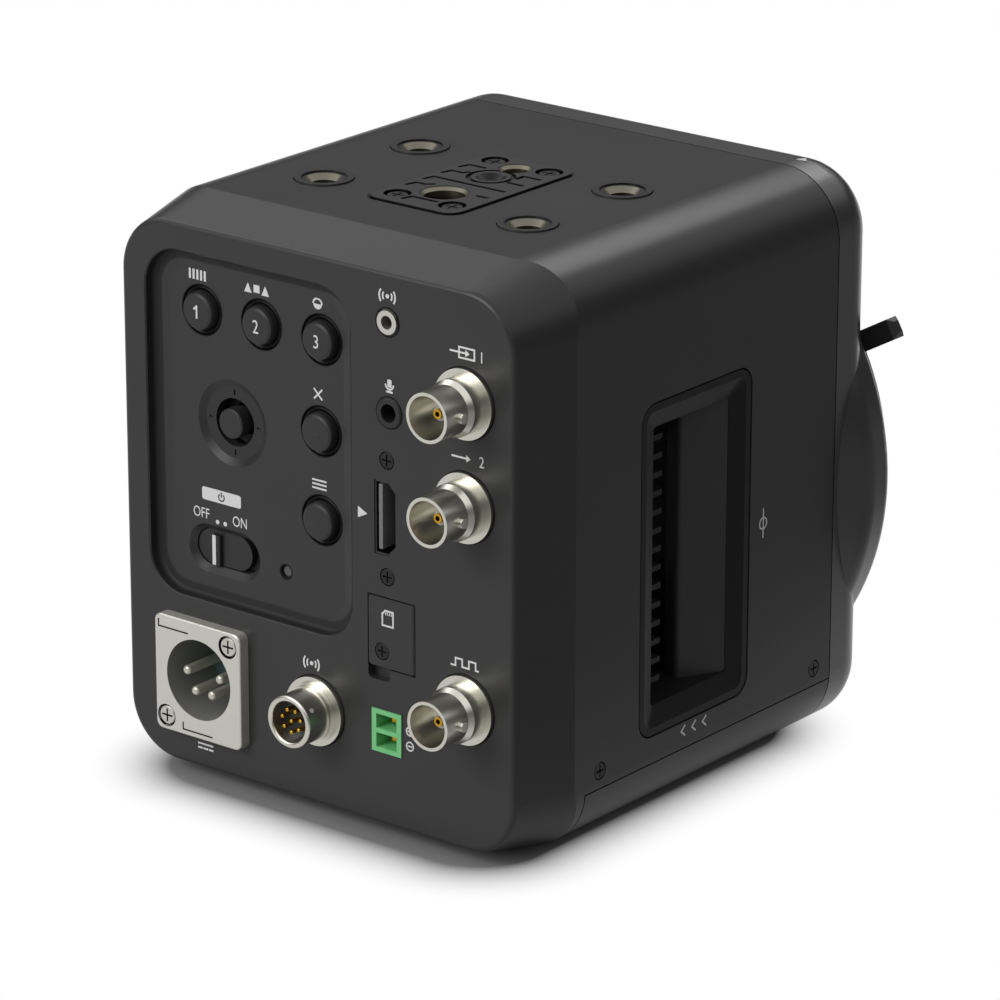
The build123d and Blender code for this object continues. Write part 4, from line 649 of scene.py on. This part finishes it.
class CameraStageSettings(PropertyGroup):
    """Camera, lights, surroundings and floor."""

    eye: FloatVectorProperty(name="Camera place", description="Place of the camera", subtype="TRANSLATION",
                             unit="LENGTH", default=(0.618507, -0.776668, 0.39522))
    turn: FloatProperty(name="Turn", description="Camera's turn to the left of straight ahead",
                        subtype="ANGLE", unit="ROTATION", default=0.675448)
    tilt: FloatProperty(name="Tilt", description="Camera's tilt, negative looking down",
                        subtype="ANGLE", unit="ROTATION", default=-0.336069)
    roll: FloatProperty(name="Roll", description="Camera's roll about its view",
                        subtype="ANGLE", unit="ROTATION", default=0.001738)
    lens: FloatProperty(name="Focal length", description="Focal length on a 36 mm wide sensor",
                        unit="CAMERA", default=191.7405)
    key_power: FloatProperty(name="Key light", description="Power of the light above and to the left",
                             unit="POWER", default=0.6)
    fill_power: FloatProperty(name="Fill light", description="Power of the broad light behind the viewer",
                              unit="POWER", default=6.3)
    front_power: FloatProperty(name="Front light", description="Power of the panel over the lens side",
                               unit="POWER", default=6.0)
    sky: FloatProperty(name="Sky", description="Strength of the surroundings as light on the object",
                       default=0.39)
    shine_low: FloatProperty(name="Low shine", default=0.09,
                             description="Strength of the surroundings near the horizon in glossy surfaces")
    shine_high: FloatProperty(name="High shine", default=1.05,
                              description="Strength of the surroundings overhead in glossy surfaces")
    floor_shine: FloatProperty(name="Floor shine", subtype="FACTOR", default=0.7,
                               description="White share of the floor on the left in glossy surfaces")
    floor_shine_front: FloatProperty(name="Front floor shine", subtype="FACTOR", default=1.0,
                                     description="The same on the left past the lens")
    floor_shine_right: FloatProperty(name="Right floor shine", subtype="FACTOR", default=0.1,
                                     description="The same on the right")
    shadow_start: FloatProperty(name="Shadow start", unit="LENGTH", default=0.0018, precision=4,
                                description="How far from the object's rear the shadow begins to fade")
    shadow_inset: FloatProperty(name="Shadow inset", unit="LENGTH", default=0.009, precision=4,
                                description="How much nearer it fades beside the object")
    shadow_reach: FloatProperty(name="Shadow reach", unit="LENGTH", default=0.017, precision=4,
                                description="Over what distance the shadow fades")
    shadow_corner: FloatProperty(name="Shadow corner", unit="LENGTH", default=0.012, precision=4,
                                 description="Radius of the shadow's corners")


def colour_setting(name, description, default):
    """A colour that a user may change."""
    return FloatVectorProperty(name=name, description=description, subtype="COLOR", min=0.0, max=1.0,
                               default=default)


class CameraColourSettings(PropertyGroup):
    """Colours of the main finishes."""

    casing: colour_setting("Casing", "Paint of the casings and plates", shade(54))
    plastic: colour_setting("Plastic", "Buttons, jacks and air intake", shade(42))
    nickel: colour_setting("Nickel", "Plating of the connectors", screen_colour(214, 212, 202))
    gold: colour_setting("Gold", "Plating of the pins and contacts", screen_colour(206, 160, 50))
    inlet: colour_setting("Inlet", "Plate of the power inlet", screen_colour(214, 212, 205))
    terminal: colour_setting("Terminal", "Darker green of the terminal block", screen_colour(106, 190, 120))
    terminal_light: colour_setting("Light terminal", "Paler green of the terminal block",
                                   screen_colour(132, 214, 146))
    ink: colour_setting("Ink", "Printed signs", shade(225))


class CameraSignSettings(PropertyGroup):
    """Printed signs on the panels."""

    sign_height: FloatProperty(name="Sign height", description="Height of the printed characters",
                               unit="LENGTH", default=0.0021, precision=5)
    digit_height: FloatProperty(name="Digit height", description="Height of the digits on the buttons",
                                unit="LENGTH", default=0.0026, precision=5)
    pen: FloatProperty(name="Pen", description="Width of drawn lines", unit="LENGTH", default=0.00036,
                       precision=5)


class CAMERADRESS_OT_stage(Operator):
    """Make the camera, the soft studio lights, the pale surroundings and the floor"""

    bl_idname = "camera_dress.stage"
    bl_label = "Stage"

    def execute(self, context):
        settings = context.scene.camera_stage
        make_camera(context.scene, settings)
        make_lights(settings)
        make_world(context.scene, settings)
        make_floor(settings)
        context.scene.view_settings.view_transform = "Standard"
        return {"FINISHED"}


def make_camera(scene, settings):
    """The photograph's viewpoint: turn about Z, tilt about X, then roll about the view."""
    data = bpy.data.cameras.new("view")
    data.sensor_width = 36.0
    data.lens = settings.lens
    data.clip_start = 0.05
    eye = bpy.data.objects.new("view", data)
    turn = Matrix.Rotation(settings.turn, 4, "Z") @ Matrix.Rotation(math.pi / 2 + settings.tilt, 4, "X")
    eye.matrix_world = Matrix.Translation(settings.eye) @ turn @ Matrix.Rotation(settings.roll, 4, "Z")
    scene.collection.objects.link(eye)
    scene.camera = eye


def make_area(name, place, size, power):
    """Rectangular soft light at a place, turned to the object."""
    data = bpy.data.lights.new(name, "AREA")
    data.shape = "RECTANGLE"
    data.size, data.size_y = size
    data.energy = power
    light = bpy.data.objects.new(name, data)
    bpy.context.scene.collection.objects.link(light)
    aim = Vector(place) - Vector(LIGHT_TARGET)
    light.matrix_world = Matrix.Translation(place) @ aim.to_track_quat("Z", "Y").to_matrix().to_4x4()


def make_lights(settings):
    """Key light above and to the left, broad fill behind the viewer, and a panel past the lens side."""
    make_area("key", (-0.6, 0.0, 0.75), (0.35, 0.35), settings.key_power)
    make_area("fill", (-0.3, -0.9, 0.55), (0.6, 0.6), settings.fill_power)
    make_area("front", (-0.35, 1.55, 1.6), (1.1, 0.5), settings.front_power)


def make_world(scene, settings):
    """Pale surroundings: dim as light on the object, white to the camera, and graded for glossy surfaces."""
    world = bpy.data.worlds.new("studio")
    world.use_nodes = True
    scene.world = world
    tree = world.node_tree
    path = tree.nodes.new("ShaderNodeLightPath")
    camera, through, gloss = [Value(tree, path.outputs[f"Is {kind} Ray"])
                              for kind in ("Camera", "Transmission", "Glossy")]
    split = tree.nodes.new("ShaderNodeSeparateXYZ")
    tree.links.new(tree.nodes.new("ShaderNodeTexCoord").outputs["Generated"], split.inputs[0])
    high = Value(tree, split.outputs["Z"]).above(SHINE_HEIGHT, SHINE_BLEND)
    shine = high * (settings.shine_high - settings.shine_low) + settings.shine_low
    seen = camera.maths("MAXIMUM", through)
    strength = seen * (1.0 - settings.sky) + gloss * (shine - settings.sky) + settings.sky
    backdrop = tree.nodes["Background"]
    backdrop.inputs["Color"].default_value = (1.0, 1.0, 1.0, 1.0)
    tree.links.new(strength.socket, backdrop.inputs["Strength"])


def make_floor(settings):
    """Pale matte floor: it keeps the shadow near the object and fades to plain white away from it.

    The shadow lies over the casing's foot, drawn in on its left and right and with round corners.
    Past it the share t (2 - t) turns white, where t grows from 0 to 1 over the shadow's reach.
    """
    mesh = bpy.data.meshes.new("floor")
    corners = [(x * FLOOR_REACH, y * FLOOR_REACH, 0) for x, y in ((-1, -1), (1, -1), (1, 1), (-1, 1))]
    mesh.from_pydata(corners, [], [(0, 1, 2, 3)])
    floor = bpy.data.objects.new("floor", mesh)
    bpy.context.scene.collection.objects.link(floor)
    finish = Finish("floor").colour(shade(150)).rough(0.9).set(Specular_IOR_Level=0.1)
    path = finish.node("ShaderNodeLightPath")
    camera, gloss = [Value(finish.tree, path.outputs[f"Is {kind} Ray"]) for kind in ("Camera", "Glossy")]
    start, corner, inset = settings.shadow_start, settings.shadow_corner, settings.shadow_inset
    foot = ((CASING_LOW[0] + inset, CASING_HIGH[0] - inset), (CASING_LOW[1], CASING_HIGH[1]))
    out = []
    for letter, (low, high) in zip("XY", foot):
        away = (finish.axis(letter) - (low + high) / 2).maths("ABSOLUTE")
        out.append((away - (high - low) / 2 + corner).maths("MAXIMUM", 0.0))
    distance = (out[0] * out[0] + out[1] * out[1]) ** 0.5 - corner
    fade = distance.above(start + settings.shadow_reach / 2, settings.shadow_reach)
    right = finish.axis("X").above(CASING_HIGH[0] + FLOOR_SHINE_EDGE, FLOOR_SHINE_BLEND)
    front = finish.axis("Y").above(CASING_HIGH[1] + FLOOR_SHINE_EDGE, FLOOR_SHINE_BLEND)
    left_shine = front * (settings.floor_shine_front - settings.floor_shine) + settings.floor_shine
    shine = (1.0 - right) * left_shine + right * settings.floor_shine_right
    share = (camera + gloss * shine) * fade * (2.0 - fade)
    glow = finish.node("ShaderNodeEmission", Strength=1.0, Color=(1.0, 1.0, 1.0, 1.0))
    blend = finish.node("ShaderNodeMixShader", n0=share, n1=finish.surface.outputs[0], n2=glow.outputs[0])
    output = finish.tree.nodes["Material Output"]
    finish.tree.links.new(blend.outputs[0], output.inputs["Surface"])
    mesh.materials.append(finish.material)


class CAMERADRESS_OT_finishes(Operator):
    """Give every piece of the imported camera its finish"""

    bl_idname = "camera_dress.finishes"
    bl_label = "Finishes"

    def execute(self, context):
        FINISHES.update(finishes_of_slots(context.scene.camera_colours))
        NODE_FINISHES.update(finishes_of_nodes())
        for row in frame["record"]["subparts"]:
            piece = nodes[row["node"]]
            piece.data.materials.clear()
            finish = NODE_FINISHES.get(row["node"], FINISHES[row["material_slot"]])
            piece.data.materials.append(finish.material)
        return {"FINISHED"}


class CAMERADRESS_OT_digits(Operator):
    """Print the digits on the numbered buttons"""

    bl_idname = "camera_dress.digits"
    bl_label = "Button digits"

    def execute(self, context):
        height = context.scene.camera_signs.digit_height
        for number in (1, 2, 3):
            node = f"button_{number}"
            x, _, z = centre_of(node)
            plane = on_rear(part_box(node)[0][1])
            name = f"digit_{number}"
            if number == 1:
                sign(name, one_digit(height / MM), (x, z), plane, node)
            else:
                lettering(name, str(number), height, (x, z), plane, DIGIT_NARROW, node)
        return {"FINISHED"}


def one_digit(height):
    """The digit 1 with its flag, in millimetres."""
    pen = 0.4
    top = height / 2 - pen / 2
    return stroke([(0.15, -top), (0.15, top)], pen) + stroke([(0.15, top), (-0.45, top - 0.5)], pen)


def beside(node, across, up):
    """Place on the rear panel, in metres, so many millimetres across and up from a node's centre."""
    x, _, z = centre_of(node)
    return (x + across * MM, z + up * MM)


def bars_sign():
    """Five upright bars, as of a test picture."""
    marks = []
    for n in range(5):
        x = (n - 2) * 0.95
        marks += stroke([(x, -0.75), (x, 0.75)], 0.52)
    return marks


def balance_sign():
    """A square between two triangles."""
    square = [[(-0.75, -0.75), (0.75, -0.75), (0.75, 0.75), (-0.75, 0.75)]]
    left = [[(-3.1, -1.0), (-1.2, -1.0), (-2.15, 0.95)]]
    right = [[(1.2, -1.0), (3.1, -1.0), (2.15, 0.95)]]
    return square + left + right


def level_sign(pen):
    """A ring with its lower half filled."""
    radius = 1.05
    half = on_circle(0, 0, radius, np.linspace(np.pi, 2 * np.pi, 16))
    return [half] + arc(0, 0, radius, 0, 180, pen)


def cross_sign(pen):
    """A diagonal cross."""
    return stroke([(-0.9, -0.9), (0.9, 0.9)], pen) + stroke([(-0.9, 0.9), (0.9, -0.9)], pen)


def lines_sign(pen):
    """Three level lines."""
    marks = []
    for n in (-1, 0, 1):
        marks += stroke([(-1.6, n * 0.8), (1.6, n * 0.8)], pen)
    return marks


def waves_sign(pen):
    """A dot with two arcs on each side."""
    marks = disc(0, 0, 0.42)
    for radius in (1.1, 1.9):
        marks += arc(0, 0, radius, -38, 38, pen) + arc(0, 0, radius, 142, 218, pen)
    return marks


def microphone_sign(pen):
    """A capsule in a cradle on a short foot."""
    capsule = disc(0, 0.62, 0.5) + disc(0, 0.05, 0.5) + stroke([(0, 0.1), (0, 0.55)], 1.0)
    cradle = arc(0, 0.15, 0.95, 180, 360, pen)
    return capsule + cradle + stroke([(0, -0.8), (0, -1.15)], pen) + stroke([(-0.6, -1.3), (0.6, -1.3)], pen)


def screen_sign(pen):
    """A wide frame with an arrow into it."""
    frame_line = stroke([(-1.0, -1.0), (-1.0, 1.0), (2.6, 1.0), (2.6, -1.0), (-1.0, -1.0)], pen)
    return frame_line + arrow_sign(-3.0, 0.6, pen)


def arrow_sign(start, end, pen):
    """A level arrow from start to end."""
    head = [[(end - 0.1, 0.7), (end - 0.1, -0.7), (end + 0.9, 0.0)]]
    return stroke([(start, 0), (end - 0.2, 0)], pen) + head


def pulse_sign(pen):
    """A square wave."""
    corners = [(-3.0, -0.7), (-2.0, -0.7), (-2.0, 0.8), (-0.4, 0.8), (-0.4, -0.7), (1.2, -0.7), (1.2, 0.8),
               (2.8, 0.8), (2.8, -0.7), (3.4, -0.7)]
    return stroke(corners, pen)


def direct_sign(pen):
    """A line over three dashes: direct current."""
    marks = stroke([(-1.8, 0.45), (1.8, 0.45)], pen)
    for n in (-1, 0, 1):
        marks += stroke([(n * 1.4 - 0.42, -0.45), (n * 1.4 + 0.42, -0.45)], pen)
    return marks


def card_sign(pen):
    """A card with one corner cut off and its contacts."""
    outline = stroke([(-1.3, -1.5), (1.3, -1.5), (1.3, 1.5), (-0.6, 1.5), (-1.3, 0.8), (-1.3, -1.5)], pen)
    for n in range(4):
        x = -0.45 + n * 0.45
        outline += stroke([(x, 0.75), (x, 1.15)], pen * 0.6)
    return outline


def polarity_sign(plus, pen):
    """A ring with a plus or a minus in it."""
    marks = arc(0, 0, 0.85, 0, 360, pen * 0.8) + stroke([(-0.42, 0), (0.42, 0)], pen * 0.8)
    return marks + (stroke([(0, -0.42), (0, 0.42)], pen * 0.8) if plus else [])


class CAMERADRESS_OT_recess_signs(Operator):
    """Print plain signs over the buttons in the recess"""

    bl_idname = "camera_dress.recess_signs"
    bl_label = "Recess signs"

    def execute(self, context):
        pen = context.scene.camera_signs.pen / MM
        plane = on_rear(RECESS_FLOOR_Y)
        for name, node, across, up, marks in (
            ("bars_sign", "button_1", -1.05, 6.8, bars_sign()),
            ("balance_sign", "button_2", -1.1, 6.8, balance_sign()),
            ("level_sign", "button_3", -0.95, 6.8, level_sign(pen)),
            ("cross_sign", "cancel_button", -0.7, 7.2, cross_sign(pen)),
            ("lines_sign", "menu_button", -0.6, 7.0, lines_sign(pen)),
        ):
            sign(name, marks, beside(node, across, up), plane)
        return {"FINISHED"}


class CAMERADRESS_OT_power_signs(Operator):
    """Print the power switch's signs and the line on its slider"""

    bl_idname = "camera_dress.power_signs"
    bl_label = "Power switch signs"

    def execute(self, context):
        settings = context.scene.camera_signs
        pen = settings.pen / MM * 0.75
        plane = on_rear(RECESS_FLOOR_Y)
        stick = "joystick_bezel"
        symbol = arc(0, -0.05, 0.72, 125, 415, pen) + stroke([(0, 0.1), (0, 0.85)], pen)
        dots = disc(-0.98, 0, 0.45) + disc(0.98, 0, 0.45)
        label = beside(stick, -3.1, -15.6)
        sign("power_plate", rounded_plate(9.9, 2.6, 0.5), label, plane)
        sign("power_symbol", symbol, label, plane, ink="dark_ink", rise=SYMBOL_RISE)
        sign("switch_dots", dots, beside(stick, -3.22, -20.85), plane)
        for name, words, across in (("off_sign", "OFF", -8.3), ("on_sign", "ON", 1.5)):
            lettering(name, words, settings.sign_height, beside(stick, across, -19.7), plane, WORD_NARROW)
        slider = "power_slider"
        place = (beside(stick, -5.67, 0)[0], centre_of(slider)[2] - SLIDER_LINE_DROP)
        line = stroke([(0, -2.6), (0, 2.6)], 0.85)
        sign("slider_line", line, place, on_rear(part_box(slider)[0][1]), slider)
        return {"FINISHED"}


def rounded_plate(width, height, radius):
    """Outline of a rectangle whose corners are quarter circles, in millimetres."""
    corners = []
    for x, y, start in ((1, 1, 0), (-1, 1, 90), (-1, -1, 180), (1, -1, 270)):
        turn = np.radians(start + np.linspace(0, 90, 6))
        corners.append(on_circle(x * (width / 2 - radius), y * (height / 2 - radius), radius, turn))
    return [np.vstack(corners)]


class CAMERADRESS_OT_panel_signs(Operator):
    """Print plain signs beside the connectors on the rear panel"""

    bl_idname = "camera_dress.panel_signs"
    bl_label = "Rear panel signs"

    def execute(self, context):
        settings = context.scene.camera_signs
        pen = settings.pen / MM
        plane = on_rear(REAR_Y)
        for name, node, across, up, marks in (
            ("remote_sign", "remote_jack", 0.0, 5.0, waves_sign(pen)),
            ("microphone_sign", "microphone_jack", 0.1, 5.4, microphone_sign(pen)),
            ("screen_sign", "coax_connector_1", -0.4, 9.6, screen_sign(pen)),
            ("output_sign", "coax_connector_2", -0.4, 9.5, arrow_sign(-2.6, 0.8, pen)),
            ("sync_sign", "coax_connector_3", -0.3, 9.0, pulse_sign(pen)),
            ("control_sign", "control_connector_shell", -1.1, 9.3, waves_sign(pen)),
            ("supply_sign", "power_inlet_plate", -0.4, -14.4, direct_sign(pen)),
            ("plus_sign", "terminal_block", 5.55, 1.5, polarity_sign(True, pen)),
            ("minus_sign", "terminal_block", 5.55, -1.5, polarity_sign(False, pen)),
            ("port_arrow", "video_port_shell", -5.5, 0.0, [[(-1.15, -1.15), (1.15, 0), (-1.15, 1.15)]]),
        ):
            sign(name, marks, beside(node, across, up), plane)
        for number in (1, 2):
            place = beside(f"coax_connector_{number}", 3.9, 9.5)
            name = f"output_digit_{number}"
            lettering(name, str(number), settings.sign_height, place, plane, DIGIT_NARROW)
        return {"FINISHED"}


class CAMERADRESS_OT_barrel_dot(Operator):
    """Print the white dot on the control connector's barrel"""

    bl_idname = "camera_dress.barrel_dot"
    bl_label = "Barrel dot"

    def execute(self, context):
        x, _, z = centre_of("control_connector_shell")
        turn = math.radians(BARREL_DOT_DEG)
        outward = np.array([math.cos(turn), 0.0, math.sin(turn)])
        along = np.array([-math.sin(turn), 0.0, math.cos(turn)])
        middle = np.array([x, REAR_Y - BARREL_DOT_OUT, z]) + outward * BARREL_RADIUS
        axes = np.array([along, (0.0, 1.0, 0.0), outward])
        sign("barrel_dot", disc(0, 0, 0.45), (0.0, 0.0), lambda p: middle + p @ axes)
        return {"FINISHED"}


class CAMERADRESS_OT_door_sign(Operator):
    """Print the card sign on the card door"""

    bl_idname = "camera_dress.door_sign"
    bl_label = "Card door sign"

    def execute(self, context):
        marks = card_sign(context.scene.camera_signs.pen / MM)
        sign("card_sign", marks, beside("card_door", -0.9, 3.0), on_rear(REAR_Y), "card_door")
        return {"FINISHED"}


class CAMERADRESS_OT_side_signs(Operator):
    """Print the sensor plane's mark and the intake's arrows on the right side"""

    bl_idname = "camera_dress.side_signs"
    bl_label = "Side signs"

    def execute(self, context):
        pen = context.scene.camera_signs.pen / MM
        plane = on_side(SIDE_X)
        mark = arc(0, 0, 1.15, 0, 360, pen * 0.8, 36) + stroke([(0, -2.9), (0, 2.9)], pen * 0.8)
        sign("sensor_plane_mark", mark, (SENSOR_PLANE_Y, centre_of("sensor_glass")[2]), plane)
        arrows = []
        for n in range(3):
            x = (n - 1) * 3.4
            arrows += stroke([(x + 0.6, 0.95), (x - 0.5, 0), (x + 0.6, -0.95)], pen)
        vent = "intake_frame"
        place = (centre_of(vent)[1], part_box(vent)[0][2] - INTAKE_ARROWS_DROP)
        sign("intake_arrows", arrows, place, plane)
        return {"FINISHED"}


class CAMERADRESS_OT_top_sign(Operator):
    """Print the small mark on the front cover's top"""

    bl_idname = "camera_dress.top_sign"
    bl_label = "Top sign"

    def execute(self, context):
        mark = [[(-1.2, -0.75), (1.2, -0.75), (0, 0.95)]]
        place = (RELEASE_MARK_X, CASING_HIGH[1] + RELEASE_MARK_Y)
        sign("lens_release_mark", mark, place, on_top(TOP_Z))
        return {"FINISHED"}


class CAMERADRESS_PT_panel(Panel):
    """Buttons for every step, in order"""

    bl_idname = "CAMERADRESS_PT_panel"
    bl_label = "Box video camera"
    bl_space_type = "VIEW_3D"
    bl_region_type = "UI"
    bl_category = "Camera"

    def draw(self, context):
        for step in STEPS:
            self.layout.operator(step.bl_idname)


STEPS = (
    CAMERADRESS_OT_stage,
    CAMERADRESS_OT_finishes,
    CAMERADRESS_OT_digits,
    CAMERADRESS_OT_recess_signs,
    CAMERADRESS_OT_power_signs,
    CAMERADRESS_OT_panel_signs,
    CAMERADRESS_OT_barrel_dot,
    CAMERADRESS_OT_door_sign,
    CAMERADRESS_OT_side_signs,
    CAMERADRESS_OT_top_sign,
)
GROUPS = (CameraStageSettings, CameraColourSettings, CameraSignSettings)
CLASSES = (*GROUPS, *STEPS, CAMERADRESS_PT_panel)


def register():
    """Registers the classes and hangs the settings on the scene."""
    for item in CLASSES:
        bpy.utils.register_class(item)
    bpy.types.Scene.camera_stage = PointerProperty(type=CameraStageSettings)
    bpy.types.Scene.camera_colours = PointerProperty(type=CameraColourSettings)
    bpy.types.Scene.camera_signs = PointerProperty(type=CameraSignSettings)


def unregister():
    """Takes the settings and the classes away again."""
    del bpy.types.Scene.camera_signs
    del bpy.types.Scene.camera_colours
    del bpy.types.Scene.camera_stage
    for item in reversed(CLASSES):
        bpy.utils.unregister_class(item)


def main():
    """Runs every step in order."""
    register()
    for step in STEPS:
        group, name = step.bl_idname.split(".")
        getattr(getattr(bpy.ops, group), name)()


if __name__ == "__main__":
    main()
